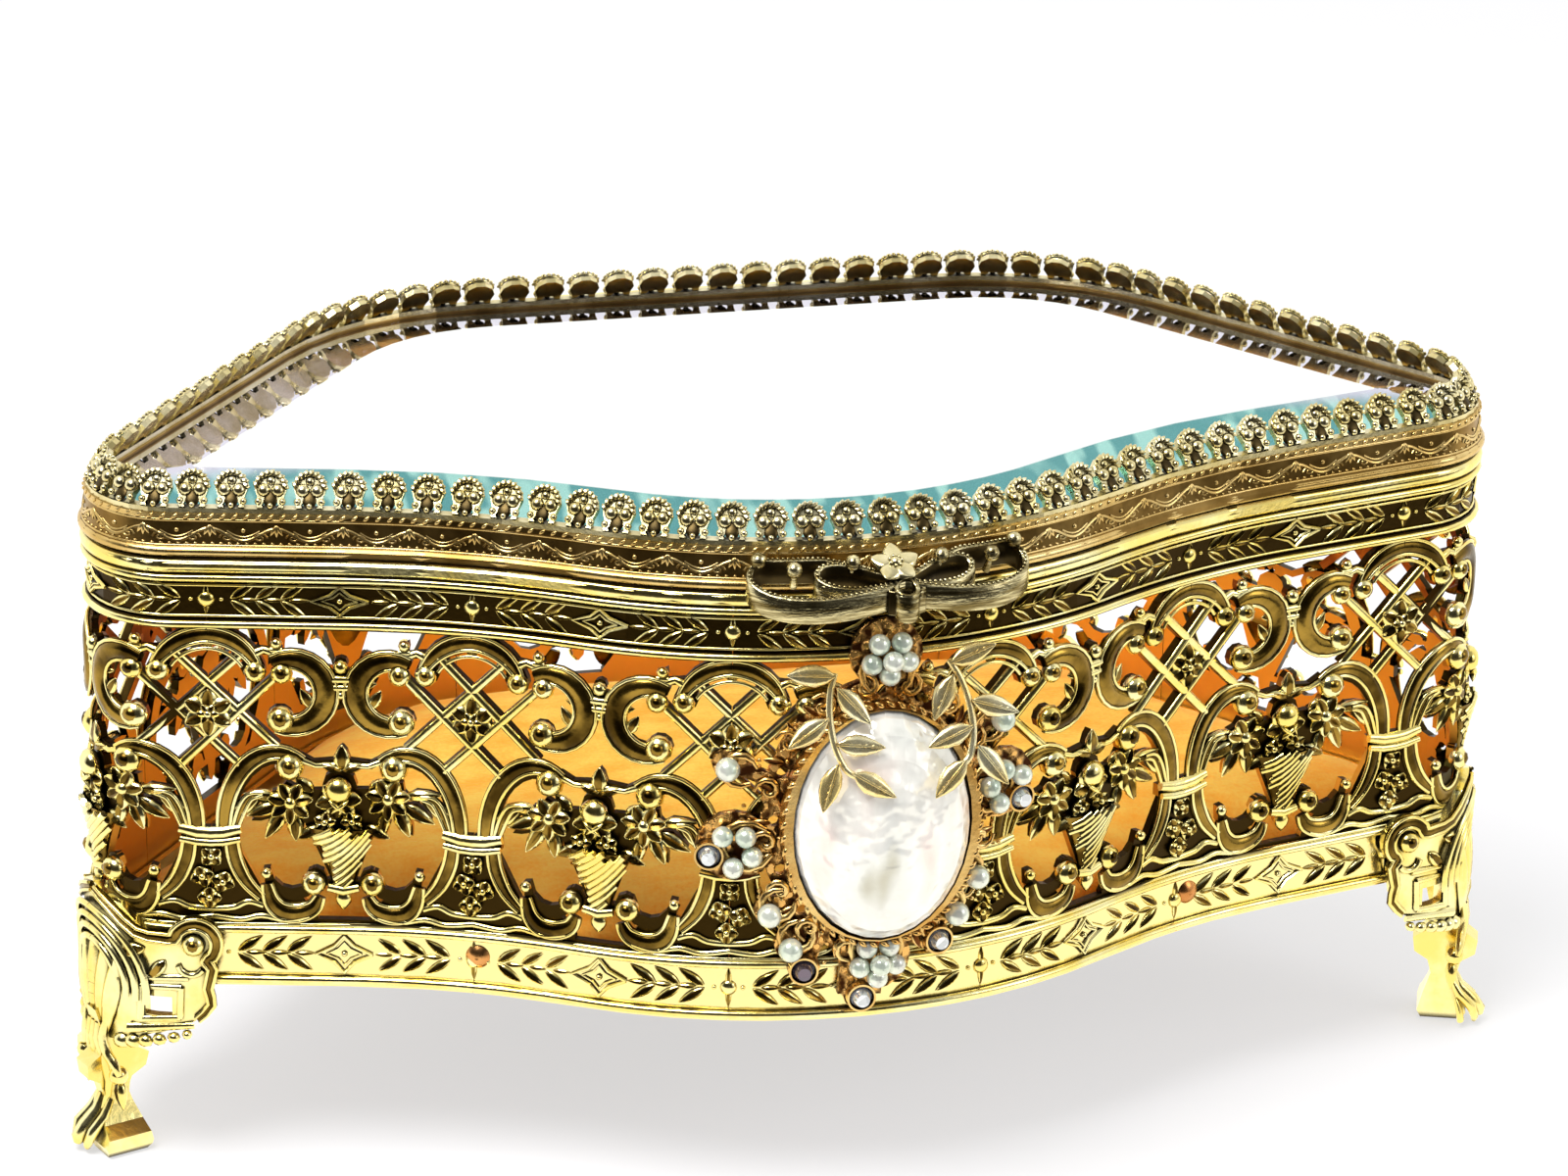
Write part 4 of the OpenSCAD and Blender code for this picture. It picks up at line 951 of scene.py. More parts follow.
def panel_place(k):
    """Middle, stretch and height of a panel, numbered from the front's middle."""
    if abs(k) <= 2:
        return k * FRONT_PITCH, FRONT_PITCH / DRAWN_W, OPEN_Z
    middle = math.copysign(2.5 * FRONT_PITCH + (abs(k) - 2.5) * SIDE_PITCH, k)
    return middle, SIDE_PITCH / DRAWN_W, OPEN_Z


def make_wall_relief():
    flat = bmesh.new()
    add_half(flat)
    add_mirrored(flat)
    add_middle(flat)
    add_collar(flat)
    add_band(flat, *LOWER_BAND)
    add_band(flat, *UPPER_BAND)
    panel = as_mesh(flat, "panel")
    print("panel", len(panel.polygons), "faces")
    sides = {"front": range(-2, 3), "left": (-4, -3), "right": (3, 4), "back": (-6, -5, 5, 6)}
    for side, places in sides.items():
        bm = bmesh.new()
        lay(bm, panel, [panel_place(k) for k in places], keep=True)
        to_piece(bm, "relief_" + side, "box", gilt, shaded_gilt)
    bpy.data.meshes.remove(panel)


make_wall_relief()
make_mouldings()

# %% [markdown]
# The frame's glass comes as triangles that fold over each other where its front is hollow, and in glass
# every fold shows as a black wedge. So its flat top is taken off and closed again as one single face.

# %% The pane


def make_pane():
    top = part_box("lid_glass")[1].z
    bm = bmesh.new()
    bm.from_mesh(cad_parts["lid_glass"].data)
    bmesh.ops.remove_doubles(bm, verts=bm.verts[:], dist=0.001 * MM)
    flat = [face for face in bm.faces if min(vert.co.z for vert in face.verts) > top - 0.01 * MM]
    bmesh.ops.delete(bm, geom=flat, context="FACES")
    bmesh.ops.holes_fill(bm, edges=[edge for edge in bm.edges if edge.is_boundary])
    sheet = to_piece(bm, "glass_pane", "lid", pane)
    sheet.data.polygons.foreach_set("use_smooth", [False] * len(sheet.data.polygons))
    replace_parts(sheet, "lid_glass")


make_pane()

# %% [markdown]
# The lid's gallery is a row of small arched tongues, leaning over the glass. Each has two round lobes under a
# twisted rope, with an arch at its foot that is painted dark as shade. One is drawn and set round the lid by a
# matrix.

# %% Gallery and lid mouldings
FRAME_TOP, GALLERY_LEAN = 86.2, 35.0
SCALLOPS = 46


def make_scallop():
    bm = bmesh.new()
    for side in (-1, 1):
        add_bead(bm, (side * 0.86, 2.15), 0.84, 0.62, 0.95, rounds=12)
        add_bead(bm, (side * 1.45, 0.75), 0.46, 0.45, 0.9, rounds=8)
    add_bead(bm, (0, 0.2), 0.42, 0.5, 0.95, rounds=8)
    add_bead(bm, (0, 3.3), 0.6, 0.4, 0.95, rounds=8)
    crest = arc((0, 2.3), 1.75, 1.9, 10, 170, 8)
    add_strokes(bm, [(crest, 0.36, 0.9)])
    for i, (x, y) in enumerate(crest):
        slant = 20 * i + 145
        add_leaf(bm, polar(slant, -0.62, centre=(x, y)), slant, 1.24, 0.55, 0.3, 1.22, vein=0, around=6, rings=5)
    # Painted shade: the arch at the tongue's foot goes on the dark material.
    start = len(bm.faces)
    add_leaf(bm, (0, -0.1), 90, 2.2, 1.7, 0.22, 0.88, vein=0, point=0.5)
    darken(bm, start)
    return as_mesh(bm, "scallop")


def make_gallery_relief():
    bm = bmesh.new()
    pitch = HALF_LEN / SCALLOPS
    lay(bm, make_scallop(), [on_wall(side * (i + 0.5) * pitch, -0.9, FRAME_TOP + 0.3, lean=GALLERY_LEAN)
                             for side in (-1, 1) for i in range(SCALLOPS)])
    to_piece(bm, "gallery_relief", "lid", antique, shaded_brass)


def add_rope(bm, z, out, length, width, count, slant):
    """Slanted beads all round the wall's line, as a twisted cord."""
    grain = bmesh.new()
    add_leaf(grain, (-length / 2, 0), 0, length, width, width * 0.5, 0, vein=0)
    lay(bm, as_mesh(grain, "grain"), [on_wall(s, out, z, turn=slant) for s in spread(count)])


LID_STEPS = 360


def make_lid_mouldings():
    bm = bmesh.new()
    add_ring(bm, arc((0.62, 81.6), 0.54, 0.6, -90, 90, 8) + [(-0.2, 82.2), (-0.2, 81)], LID_STEPS)
    add_tubes(bm, [(82.34, 0.58, 0.17), (85.42, 0.12, 0.24)], LID_STEPS)
    add_ring(bm, [(0.3, 85.6), (0.28, 86.22), (-1.5, 86.26), (-1.5, 85.6)], LID_STEPS)
    add_rope(bm, 85.95, 0.3, 1.05, 0.46, 300, 40)
    add_rope(bm, 82.62, 0.5, 0.5, 0.36, 420, 0)
    to_piece(bm, "lid_mouldings", "lid", band_light, shaded_brass)
    bm = bmesh.new()
    # The band's ground takes the darker band brass, painted shade behind the raised swags.
    add_ring(bm, [(0.54, 82.4), (0.16, 85.34), (-0.2, 85.34), (-0.2, 82.4)], LID_STEPS)
    to_piece(bm, "lid_band_ground", "lid", shaded_band_brass)


make_gallery_relief()
make_lid_mouldings()

# %% [markdown]
# The engraved band has a swag about every 8 mm, with a curl in it and two leaves between swags. It is
# drawn once for 8 mm and bent round the lid, as the wall's panels are.

# %% The engraved band
SWAGS, SWAG_W = 54, 8


def make_lid_band():
    flat = bmesh.new()
    swag = [(x, 1.1 - 0.75 * math.cos(math.pi * x / 4)) for x in [-4 + 0.5 * i for i in range(17)]]
    strokes = [(swag, 0.2, 0.0), ([(x, y + 0.45) for x, y in swag[4:13]], 0.12, 0.0)]
    curl = [(0.9 * (1 - i / 14) * cosine(40 * i), 0.75 + 0.6 * (1 - i / 14) * sine(40 * i)) for i in range(14)]
    strokes += [([(x + 2, y) for x, y in curl], 0.13, 0.02), ([(-2 - x, y) for x, y in curl], 0.13, 0.02)]
    add_strokes(flat, strokes, roundness=1)
    for angle in (-60, -120, -90):
        add_leaf(flat, (4, 2.3), angle, 1.5, 0.55, 0.2, 0, vein=0)
    add_bead(flat, (0, 1.6), 0.3, 0.2, rounds=6)
    for vert in flat.verts:
        vert.co.z += 0.55 - 0.13 * vert.co.y
    bm = bmesh.new()
    lay(bm, as_mesh(flat, "swag"), [(s, 2 * HALF_LEN / SWAGS / SWAG_W, 82.6) for s in spread(SWAGS)])
    to_piece(bm, "lid_band", "lid", band_light)


make_lid_band()

# %% [markdown]
# The thumb lift is a brushed ribbon on edge, bent into two large and two small loops that lean down from
# the lid. A ribbon is a small section carried along a path of places on the lid, so it is made by hand:
# a curve's bevel would tilt with the path, where a real ribbon stays upright.

# %% The thumb bow
BOW_X, BOW_REACH, BOW_OUT, BOW_TILT = 2.95, (17.1, 15.1), 5.8, 28.0
BOW_BACK, BOW_TOP = 1.15, 85.4
LOOP_STEPS, BEAD_STEPS, BEAD_GAP, BEAD_R = 64, 720, 0.55, 0.26
RIBBON_H, RIBBON_T = 3.1, 0.75
SLOPE = math.tan(math.radians(BOW_TILT))


def loop_path(side, reach, depth, count):
    """A loop from the knot, out along the lid and back against it, as (along, out)."""
    path = []
    for i in range(count):
        angle = 360 * i / count
        turn = (1 - cosine(angle)) / 2
        run_out = BOW_OUT * (0.67 - 0.26 * turn) + depth * sine(angle) * sine(angle / 2)
        path.append((side * reach * turn, max(run_out, RIBBON_T / 2)))
    return path


def add_ribbon(bm, path, thick, top, bottom, inside=7):
    """An upright closed ribbon with softened edges, with painted shade on the face numbered inside."""
    half, soft = thick / 2, thick * 0.2
    section = [(half, top - soft), (half - soft, top), (soft - half, top), (-half, top - soft),
               (-half, bottom + soft), (soft - half, bottom), (half - soft, bottom), (half, bottom + soft)]
    rows = []
    for i, (u, out) in enumerate(path):
        before, after = path[i - 1], path[(i + 1) % len(path)]
        du, do = after[0] - before[0], after[1] - before[1]
        size = max(math.hypot(du, do), 1e-6)
        rows.append([])
        for across, lift in section:
            place = (BOW_X + u - do / size * across, BOW_BACK + out + du / size * across)
            rows[-1].append(bm.verts.new(at_wall(*place, BOW_TOP - out * SLOPE + lift)))
    for i, row in enumerate(rows):
        nearby = rows[(i + 1) % len(rows)]
        for j in range(8):
            k = (j + 1) % 8
            bm.faces.new((row[j], row[k], nearby[k], nearby[j])).material_index = int(j == inside)


def on_bow(u, out, lift):
    """Matrix on the bow's leaning top: X along the lid, Y up the slope, Z square to it."""
    seat = on_wall(BOW_X + u, BOW_BACK + out, BOW_TOP - out * SLOPE, lean=90 - BOW_TILT)
    return seat @ Matrix.Translation((0, 0, lift))


print("the bow reaches", BOW_REACH, "mm to its sides")

# %% [markdown]
# The four loops, the knot's ring and its two small tails are such ribbons. Beads sit on their edges at
# an even distance, and larger ones on short pegs. A five-petalled blossom covers the middle.

# %% The bow put together


def make_bow():
    bm = bmesh.new()
    beads = []
    for side, full, inside in ((-1, BOW_REACH[0], 7), (1, BOW_REACH[1], 3)):
        for reach, depth in ((full, BOW_OUT * 0.66), (full * 0.56, BOW_OUT * 0.36)):
            add_ribbon(bm, loop_path(side, reach, depth, LOOP_STEPS), RIBBON_T, 0, -RIBBON_H, inside)
            last = (9, 9)
            for place in loop_path(side, reach, depth, BEAD_STEPS):
                if math.dist(place, last) > BEAD_GAP:
                    last = place
                    beads.append((*place, BEAD_R, 0.05))
        for u, out, prong in ((full * 0.94, 1.2, 0), (full * 0.71, 2.5, 1), (full * 0.32, 1.8, 1)):
            beads.append((side * u, out, 0.98, 0.9))
            if prong:
                place = on_bow(side * u, out, 0)
                bmesh.ops.create_cone(bm, segments=10, radius1=0.5, radius2=0.3, depth=2.4, cap_ends=True,
                                      matrix=place @ Matrix.Translation((0, 0, -0.9)))
    ring = [polar(15 * i, 1.15, centre=(0, BOW_OUT - 0.7)) for i in range(24)]
    add_ribbon(bm, ring, 0.5, 0.25, -RIBBON_H - 0.3)
    knot = ((1.2, 3.6), (1.9, 4.2), (1.9, 5.2), (1.2, 5.4), (0.9, 4.4))
    for side in (-1, 1):
        add_ribbon(bm, [(side * u, out) for u, out in knot], 0.35, -0.1, -RIBBON_H)
    for u, out, radius, lift in beads:
        across, up = (6, 4) if radius == BEAD_R else (14, 9)
        bmesh.ops.create_uvsphere(bm, u_segments=across, v_segments=up, radius=radius,
                                  matrix=on_bow(u, out, lift))
    bow = to_piece(bm, "ribbon_bow", "lid", brushed, shaded_brass)
    bm = bmesh.new()
    for i in range(5):
        angle = 72 * i + 18
        add_leaf(bm, polar(angle, 0.3), angle, 2.7, 2.7, 0.55, 0.45, vein=0.3, point=0.35, cup=0.7)
    add_bead(bm, (0, 0), 0.85, 0.8, 0.7, rounds=10)
    for i in range(7):
        add_bead(bm, polar(51 * i, 0.75), 0.27, 0.3, 1.0, rounds=6)
    bmesh.ops.transform(bm, matrix=on_bow(-0.7, BOW_OUT * 0.38, 0.25), verts=bm.verts[:])
    blossom = to_piece(bm, "bow_blossom", "lid", antique, shaded_brass)
    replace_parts(bow, "thumb_bow", "bow_beads")
    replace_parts(blossom, "bow_flower")


make_bow()

# %% [markdown]
# The brooch is a fine copper-gold filigree round a dented nacre cabochon. The scrolls are drawn flat
# about the brooch's middle and bent with the front, as the wall's are. The frame's leaf sprays are
# plain stampings, so veined, cupped leaves stand for them, on the same stems and at the same tilt.

# %% Brooch filigree
BROOCH_X, BROOCH_Z = 1.5, 51.3
CAB_W, CAB_H = 22.0, 30.0
SEAT_OUT, FACE_OUT = 1.5, 1.45
SPURS = ((0.7, 20.6), (-17, -3.2), (15.8, 2.2), (0, -18.4), (-17.8, 7.5), (14.9, 11.2), (-12.8, -11.6),
         (-10.3, -16.2), (12.1, -9), (9.6, -13.4))
LONG_SPURS = (0, 0.7, 17, 15.8)
CURLS, GRAINS, LEAFLETS, ROPE_BEADS = 16, 70, 26, 56


def by_cabochon(angle, gap):
    """Point at an angle about the cabochon's oval, a gap outside its edge."""
    return polar(angle, CAB_W / 2 + gap, CAB_H / 2 + gap)


def make_filigree():
    bm = bmesh.new()
    dice = random.Random(5)
    scrolls = []
    for i in range(CURLS):
        angle = 360 / CURLS * i + 8
        centre = by_cabochon(angle, 2.5)
        curl = [polar(angle + 38 * j, 0.35 + 0.13 * j, centre=centre) for j in range(11)]
        scrolls.append((curl, swell(0.2, 0.42, 10), FACE_OUT + 0.35))
    for x, y in SPURS:
        away = math.degrees(math.atan2(y, x))
        reach = 3.4 if abs(x) in LONG_SPURS else 2.2
        for side in (-1, 1):
            curl = [polar(away + side * (150 - 30 * j), reach * (1 - 0.05 * j), centre=(x * 0.93, y * 0.93))
                    for j in range(7)]
            scrolls.append((curl, swell(0.25, 0.5, 6), FACE_OUT + 0.4))
    add_strokes(bm, scrolls)
    for i in range(GRAINS):
        angle = 360 * i / GRAINS + dice.uniform(-2, 2)
        add_bead(bm, by_cabochon(angle, dice.uniform(1.4, 5.2)), 0.32, 0.3, FACE_OUT + 0.1, rounds=6)
    for i in range(LEAFLETS):
        angle = 360 * i / LEAFLETS
        add_leaf(bm, by_cabochon(angle, 1.7), angle + dice.uniform(-40, 40), 2.6, 1.1, 0.35, FACE_OUT + 0.1)
    drawn = as_mesh(bm, "filigree")
    ring = bmesh.new()
    for i in range(ROPE_BEADS):
        angle = 360 * i / ROPE_BEADS
        place = polar(angle, CAB_W / 2 + 0.75, CAB_H / 2 + 0.35, (BROOCH_X, 0))
        add_leaf(ring, place, angle + 60, 1.5, 0.7, 0.5, SEAT_OUT + 2.3, vein=0)
    bm = bmesh.new()
    lay(bm, drawn, [(BROOCH_X, 1.0, BROOCH_Z)])
    lay(bm, as_mesh(ring, "rope"), [on_wall(0, 0, BROOCH_Z)])
    # The leaflets' creases carry painted shade from the second finish.
    to_piece(bm, "brooch_filigree", "box", rose_gilt, shaded_rose)


make_filigree()

# %% [markdown]
# Each spray is a round stem with three pairs of veined, cupped leaves. The right one is the left one's
# mirror image, turned a little and moved, because on the real brooch the two aren't quite alike. The
# veins are thin strokes that stand proud, so they catch the light; a bump map would be lost at this size.

# %% Leaf sprays over the cabochon
LEAF_L, LEAF_W = 6.0, 2.7
STEM = [(1.07, 1.13), (1.18, 0.73), (1.22, 0.23), (1.15, -0.33), (0.97, -0.77), (0.77, -0.93)]
LEAVES = [(1.07, 1.07, 5), (1.05, 0.83, 230), (1.27, 0.23, -31), (1.13, -0.27, 188), (1.13, -0.67, -68),
          (0.83, -0.87, 213)]
SPRAY_TILT, RIGHT_TURN, RIGHT_SHIFT = -20, 13, (1.2, 0.6, 0)


def sized(points):
    """Points in leaf lengths, as millimetres."""
    return [(LEAF_L * x, LEAF_L * y) for x, y in points]


def make_spray(side, name):
    bm = bmesh.new()
    add_strokes(bm, [(rounded(sized(STEM)), 0.42, 0.35)])
    for x, y, angle in LEAVES:
        base, tip = sized([(x, y), polar(angle, 0.92, centre=(x, y))])
        add_leaf(bm, base, angle, LEAF_L, LEAF_W, 0.75, 0.3, vein=0.3, point=0.9, cup=0.8)
        veins = [([base, tip], [0.2, 0.08], [0.85, 1.15])]
        for j in range(1, 6):
            start = sized([polar(angle, j * 0.14, centre=(x, y))])[0]
            reach = 0.95 * math.sin(math.pi * (j + 1.2) / 8)
            for fork in (-38, 38):
                veins.append(([start, polar(angle + fork, reach, centre=start)], [0.11, 0.06], [0.88, 0.72]))
        add_strokes(bm, veins, roundness=1)
    if side > 0:
        top = Vector((*sized(STEM)[0], 0))
        turned = Matrix.Rotation(math.radians(RIGHT_TURN), 4, "Z")
        placed = Matrix.Translation(RIGHT_SHIFT) @ Matrix.Translation(top) @ turned @ Matrix.Translation(-top)
    else:
        placed = Matrix.Diagonal((-1, 1, 1, 1))
    seat = on_wall(0, SEAT_OUT + 1 + 1.6 + 2.3, BROOCH_Z) @ Matrix.Translation((BROOCH_X, CAB_H / 2 - 1, 0))
    tilt = Matrix.Rotation(math.radians(SPRAY_TILT), 4, "X")
    bmesh.ops.transform(bm, matrix=seat @ tilt @ placed, verts=bm.verts[:])
    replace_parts(to_piece(bm, name, "box", leaf_gilt), "leaf_" + name)


make_spray(-1, "spray_left")
make_spray(1, "spray_right")

# %% [markdown]
# A foot is a stamped wing bent round a corner and a cast leg. The wing's relief is drawn flat and bent
# as the wall's is: rolled volutes, a shell of arcs over swelling flutes, a framed window and a row of
# beads. Only its right half is drawn.

# %% A foot's wing
FOOT_S = ((ends[3] + ends[4]) / 2, (ends[5] + ends[6]) / 2)
WING_OUT = 1.75


def add_wing_half(bm):
    border = [(0.4, 35.3), (3.2, 33.9), (6.4, 31.6), (9.2, 31.3)] + arc((13.1, 30.6), 2.65, 2.65, 165, -60, 10)
    border += [(15.2, 27.2), (14.6, 24.6), (15.0, 22.4), (13.2, 20.4)]
    add_grooved(bm, [(rounded(border, 2), swell(0.7, 0.95, 2 * len(border) - 2, 0.6))])
    add_eye(bm, (12.9, 30.4), 1.5, 0.2)
    add_strokes(bm, [(arc((12.6, 27.9), 1.6, 1.6, 190, 330, 6), 0.4, 0.25)])
    shell = []
    for radius in (4.4, 5.7, 7.0, 8.3):
        shell.append((arc((0, 23.6), radius * 0.92, radius * 1.12, -8, 90, 9), 0.42, 0.3 + 0.05 * radius))
    add_strokes(bm, shell)
    for x in (0.0, 2.1, 4.1):
        flute = [(x * (0.42 + 0.58 * i / 8), 16.6 + i * (1.55 - 0.04 * x)) for i in range(9)]
        add_strokes(bm, [(flute, swell(0.45, 1.15, 8, 0.5), 0.15)], press=0.9)
    window = [(11.1, 20.5), (6.7, 19.9), (6.9, 24.4), (11.3, 24.6), (11.1, 20.5)]
    add_strokes(bm, [([start, end], 0.42, 0.2) for start, end in zip(window, window[1:])])
    add_strokes(bm, [([(5.4, 18.4), (12.8, 19.6)], [0.7, 0.45], 0.35),
                     ([(7.2, 25.6), (12.2, 26)], [0.4, 0.5], 0.2)])
    for i in range(6):
        add_bead(bm, (11.9 - 1.55 * i, 18.3 - 0.42 * i), 0.66 + 0.07 * i, 0.75, 0.2)
    add_leaf(bm, (7.4, 29.6), 200, 4.6, 2.2, 0.7, 0.1)
    add_leaf(bm, (9.6, 28.2), 235, 3.4, 1.6, 0.6, 0.1)


print("feet stand at", [round(s, 1) for s in FOOT_S], "mm along the wall, to each side")

# %% [markdown]
# The leg stands straight, so its strokes aren't bent: they follow the leg's own profile, a list of how
# far it stands out of the wall at each height. Both parts become one piece for each foot.

# %% A foot's leg
LEG_Z = [0, 0.9, 2.6, 3.9, 5.85, 8.2, 11.7, 15.6, 19.5]
LEG_OUT = [3.8, 4.6, 4.6, 2.9, 1.4, 0.9, 1.75, 2.45, 1.75]


def leg_out(z):
    """How far the leg stands out of the wall at a height."""
    return float(np.interp(z, LEG_Z, LEG_OUT))


def add_leg(bm):
    strokes = []
    for x, thick in ((-1.25, 0.62), (0, 0.8), (1.25, 0.62)):
        path = [(x * (1.25 if 9 < z < 14 else 0.8), z) for z in (17.4, 15.4, 13.4, 11.4, 9.4, 7.4, 5.4)]
        strokes.append((path, swell(0.5, thick, 6, 0.5), [leg_out(z) + 0.1 for _, z in path]))
    for side in (-1, 1):
        stem = [(side * x, z) for x, z in ((2.5, 18.4), (2.2, 16), (2.9, 13.8), (4.5, 12.9), (5.2, 11.6))]
        stem = rounded(stem, 3)
        strokes.append((stem, swell(0.5, 0.8, 12, 0.5), [leg_out(z) - 0.1 for _, z in stem]))
        add_bead(bm, (side * 4.4, 11.3), 1.25, 1.2, 1.3, rounds=12)
        add_leaf(bm, (side * 3.9, 10.6), -90 + side * 12, 4.2, 1.9, 0.8, 1.0)
        toe = [(side * x, z) for x, z in ((1.5, 6.8), (1.7, 4.6), (1.9, 3), (1.5, 1.5), (1.1, 0.8))]
        strokes.append((toe, [0.5, 0.75, 0.8, 0.7, 0.5], [leg_out(z) - 0.2 for _, z in toe]))
        curl = [(side * 2.4, 1.0), (side * 2.6, 2.4), (side * 2.0, 4.0)]
        strokes.append((curl, [0.6, 0.6, 0.3], [2.6, 2.4, 1.8]))
    strokes.append(([(0, z) for z in (7, 4.9, 3.1, 1.7, 1.1)], [0.6, 0.95, 1.1, 1.05, 0.6],
                    [1.4, 2.2, 4.0, 5.0, 5.1]))
    add_strokes(bm, strokes)
    add_leaf(bm, (0, 14.6), -90, 4.6, 3.0, 0.9, 1.9, vein=0.5)


def make_foot(name, s):
    flat = bmesh.new()
    add_wing_half(flat)
    add_mirrored(flat)
    bmesh.ops.translate(flat, vec=(0, 0, WING_OUT), verts=flat.verts[:])
    bm = bmesh.new()
    add_leg(bm)
    bmesh.ops.transform(bm, matrix=on_wall(s, 0, 0), verts=bm.verts[:])
    lay(bm, as_mesh(flat, "wing"), [(s, 1.0, 0)])
    to_piece(bm, name + "_relief", "box", gilt, shaded_gilt)


for end, s in zip(("front", "back"), FOOT_S):
    make_foot("foot_" + end + "_left", -s)
    make_foot("foot_" + end + "_right", s)

# %% [markdown]
# The pad is cloth over wadding, so it is blown up as cloth: a remeshed copy of its plain solid, made a
# little lower and deeper, gets the Cloth modifier with pressure and no gravity for 20 frames. How far a
# point may move is capped, so the pad fills its tray and stays off the wall. Then the modifier is baked.

# %% Velvet pad
SWELL, GRID, PRESSURE, FRAMES = 1.6 * MM, 4.5 * MM, 4.0, 20


def evaluated(piece):
    mesh = bpy.data.meshes.new_from_object(piece.evaluated_get(bpy.context.evaluated_depsgraph_get()))
    piece.modifiers.clear()
    piece.data = mesh


def make_pad():
    low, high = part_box("velvet_pad")
    middle = (low + high) / 2
    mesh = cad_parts["velvet_pad"].data.copy()
    start = Matrix.Diagonal((1.0, 1.02, 0.95, 1))
    mesh.transform(Matrix.Translation(middle) @ start @ Matrix.Translation(-middle))
    pad = new_object("pad_velvet", mesh)
    remesh = pad.modifiers.new("remesh", "REMESH")
    remesh.mode = "VOXEL"
    remesh.voxel_size = GRID
    evaluated(pad)
    before = points_of(pad.data)
    puff = pad.modifiers.new("puff", "CLOTH")
    puff.settings.use_pressure = True
    puff.settings.uniform_pressure_force = PRESSURE
    puff.settings.effector_weights.gravity = 0.0
    for step in range(1, FRAMES + 1):
        bpy.context.scene.frame_set(step)
    evaluated(pad)
    bpy.context.scene.frame_set(1)
    after = before + np.clip(points_of(pad.data) - before, -SWELL, SWELL)
    after[:, 2] = np.maximum(after[:, 2], low.z)
    pad.data.vertices.foreach_set("co", after.ravel())
    smooth = pad.modifiers.new("smooth", "SUBSURF")
    smooth.levels = smooth.render_levels = 1
    evaluated(pad)
    pad.data.polygons.foreach_set("use_smooth", [True] * len(pad.data.polygons))
    pad.data.materials.clear()
    pad.data.materials.append(velvet.material)
    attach(pad, "box")
    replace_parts(pad, "velvet_pad")
    grown = points_of(pad.data)
    for reach in ((*low, *high), (*grown.min(axis=0), *grown.max(axis=0))):
        print("pad", len(pad.data.polygons), "faces", [round(v / MM, 1) for v in reach])


make_pad()

# %% [markdown]
# The studio is plain: a white floor that keeps the box's shadow, a white room, and soft light from
# above. What metal mirrors makes it look like metal. In the photograph everything that leans down
# mirrors the white table and gleams, and everything that leans up mirrors a dark room. So the far part
# of the floor is dark, but for reflections alone.

# %% The floor
DARK_FLOOR, BRIGHT_FLOOR = (0.04, 0.036, 0.028, 1), (1.3, 1.25, 1.1, 1)


def make_floor():
    bpy.ops.mesh.primitive_plane_add(size=6)
    floor = bpy.context.object
    floor.name = "floor"
    f = Finish("white_table", "")
    seen = f.node("LightPath", output=0)
    paint = f.node("BsdfDiffuse", {"Color": (0.86, 0.85, 0.87, 1)})
    white = f.node("Emission", {"Color": (1, 1, 1, 1), "Strength": 1.0})
    lit = f.node("MixShader", {0: seen * 0.6, 1: paint, 2: white})
    near = f.steps(f.coordinate(1), -0.2, -0.13)
    table = f.node("Emission", {"Color": f.blend(near, DARK_FLOOR, BRIGHT_FLOOR), "Strength": 1.0})
    f.done(f.node("MixShader", {0: f.node("LightPath", output="Is Glossy Ray"), 1: lit, 2: table}))
    floor.data.materials.append(f.material)


make_floor()

# %% [markdown]
# The room is three worlds in one: white where the camera looks, soft for the light, and for reflections
# dark, with a bright far side, a faint ceiling and a glow to the right. A Light Path node chooses. A
# photographer does the same with black and white cards.

# %% The room and its lights
DARK_ROOM, BRIGHT_ROOM = (0.02, 0.018, 0.013, 1), (1.15, 1.15, 1.12, 1)


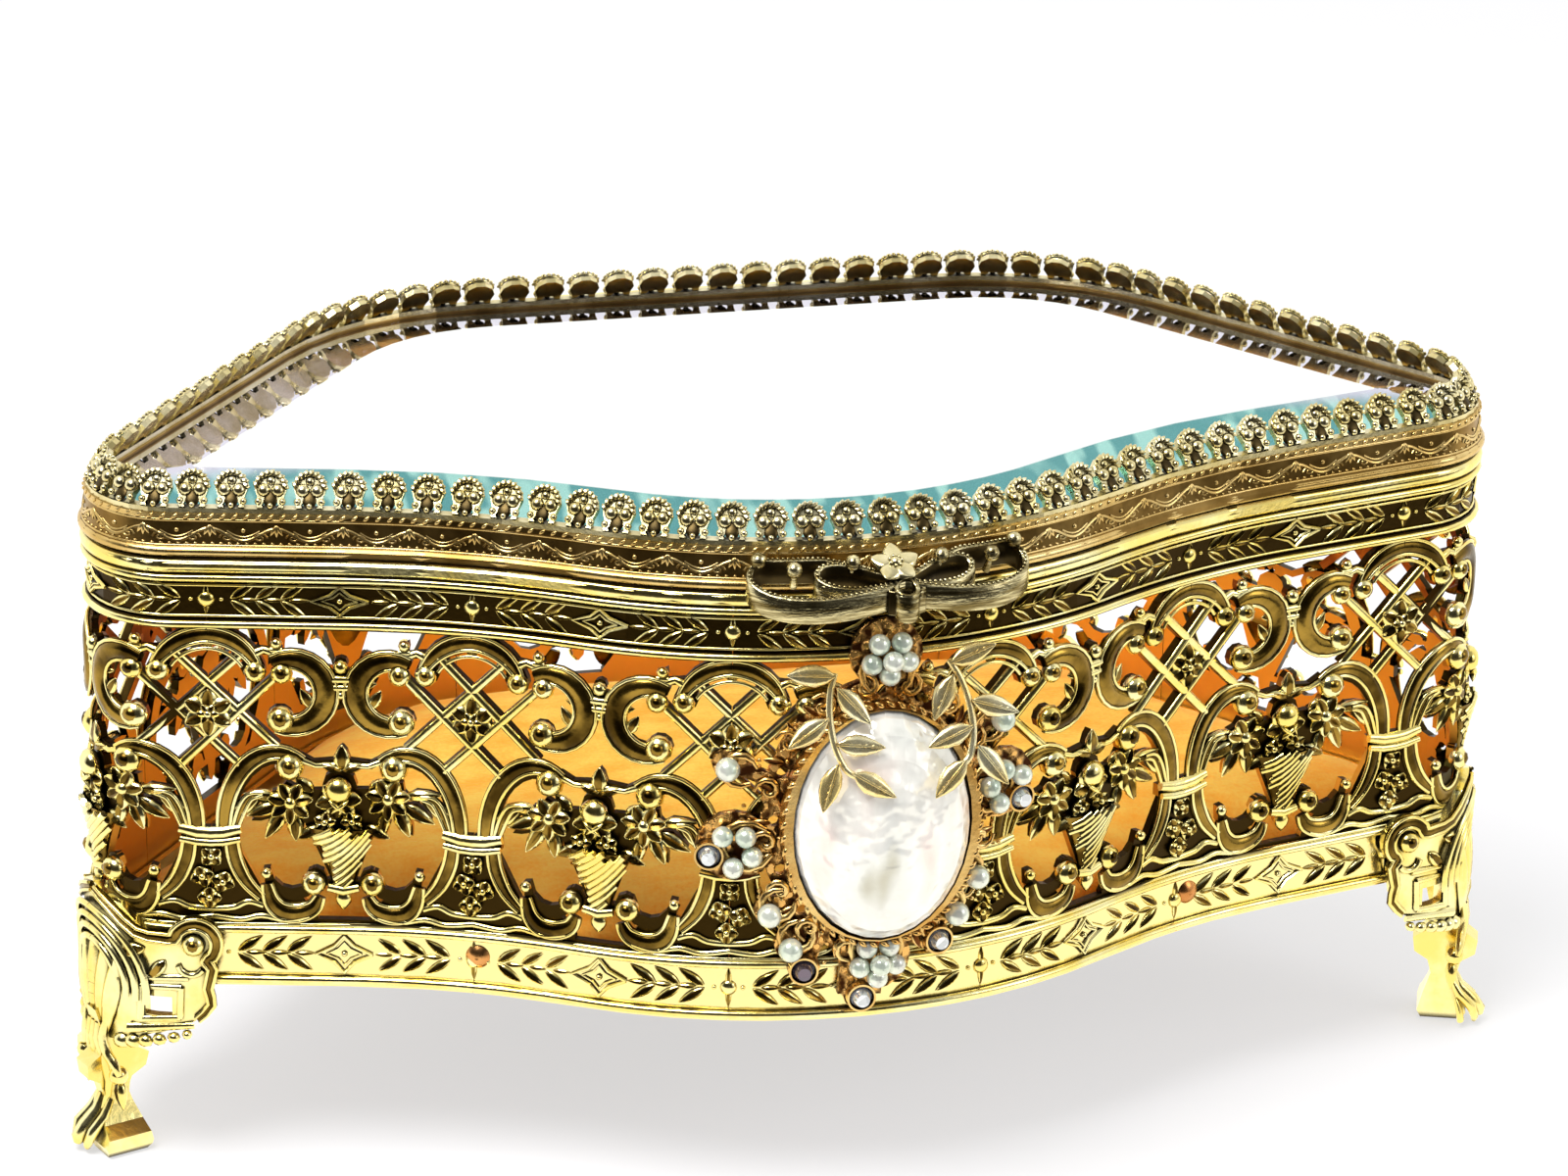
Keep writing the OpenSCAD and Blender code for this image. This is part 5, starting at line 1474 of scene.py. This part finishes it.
def make_room():
    world = bpy.data.worlds.new("white_room")
    world.use_nodes = True
    bpy.context.scene.world = world
    f = Finish("room_maker", "")
    bpy.data.materials.remove(f.material)
    f.tree = world.node_tree
    f.tree.nodes.clear()
    camera_ray, glossy_ray, through_ray = (f.node("LightPath", output="Is " + name + " Ray")
                                           for name in ("Camera", "Glossy", "Transmission"))
    way = f.node("TexCoord", output="Generated")
    side = f.node("SeparateXYZ", {0: way}, output=1)
    right = f.steps(f.node("SeparateXYZ", {0: way}, output=0), 0.35, 0.75) * 0.75
    height = f.node("SeparateXYZ", {0: way}, output=2)
    far = f.steps(side, -0.15, 0.25)
    ceiling = f.steps(height, 0.62, 0.8) * 0.35
    open_room = 1 - (1 - far) * (1 - ceiling) * (1 - right)
    mirrored = f.blend(open_room, DARK_ROOM, BRIGHT_ROOM)
    soft = f.node("Background", {"Color": (0.97, 0.98, 1.0, 1), "Strength": 0.78})
    plain = f.node("Background", {"Color": (1, 1, 1, 1), "Strength": 1.0})
    shiny = f.node("Background", {"Color": mirrored, "Strength": 1.0})
    seen = f.node("MixShader", {0: camera_ray + through_ray, 1: soft, 2: plain})
    whole = f.node("MixShader", {0: glossy_ray, 1: seen, 2: shiny})
    end = f.tree.nodes.new("ShaderNodeOutputWorld")
    f.tree.links.new(whole.socket, end.inputs["Surface"])


def make_light(name, where, size, power, aim=(0, 0, 0.04)):
    lamp = bpy.data.lights.new(name, "AREA")
    lamp.shape = "DISK"
    lamp.size = size
    lamp.energy = power
    made = new_object(name, lamp)
    made.location = where
    made.rotation_euler = (Vector(aim) - Vector(where)).to_track_quat("-Z", "Y").to_euler()


make_room()
make_light("key", (-0.35, -0.25, 0.85), 0.5, 9.0)
make_light("fill", (0.7, -0.5, 0.5), 0.4, 1.2)

# %% [markdown]
# The photograph was taken with a long lens from above and to the left. Lens, place and turns were solved
# from points on the box that are easy to find in the picture. The box isn't in the picture's middle, and
# the camera's shift moves it there, so that the lines of the box keep their true directions.

# %% Camera
LENS_PX, PHOTO_W = 5965.0, 1600.0
CAMERA_PITCH, CAMERA_YAW, CAMERA_ROLL = 21.08, 14.16, 1.20
CAMERA_AT = Vector((-158.1, -669.2 + MID_Y, 338.2)) * MM
SHIFT = (-0.0495, -0.05)

photo = bpy.data.cameras.new("photo")
photo.sensor_width = 36.0
photo.lens = LENS_PX / PHOTO_W * photo.sensor_width
photo.shift_x, photo.shift_y = SHIFT
photo.clip_start, photo.clip_end = 0.01, 20.0
camera = new_object("photo", photo)
turns = ((-CAMERA_YAW, "Z"), (90 - CAMERA_PITCH, "X"), (CAMERA_ROLL, "Z"))
yawed, pitched, rolled = (Matrix.Rotation(math.radians(angle), 4, axis) for angle, axis in turns)
camera.matrix_world = Matrix.Translation(CAMERA_AT) @ (yawed @ pitched) @ rolled
bpy.context.scene.camera = camera
bpy.context.scene.view_settings.view_transform = "Standard"
print("lens", round(photo.lens, 1), "mm")

# %% [markdown]
# Last, the view layer is brought up to date.

# %% The end
bpy.context.view_layer.update()
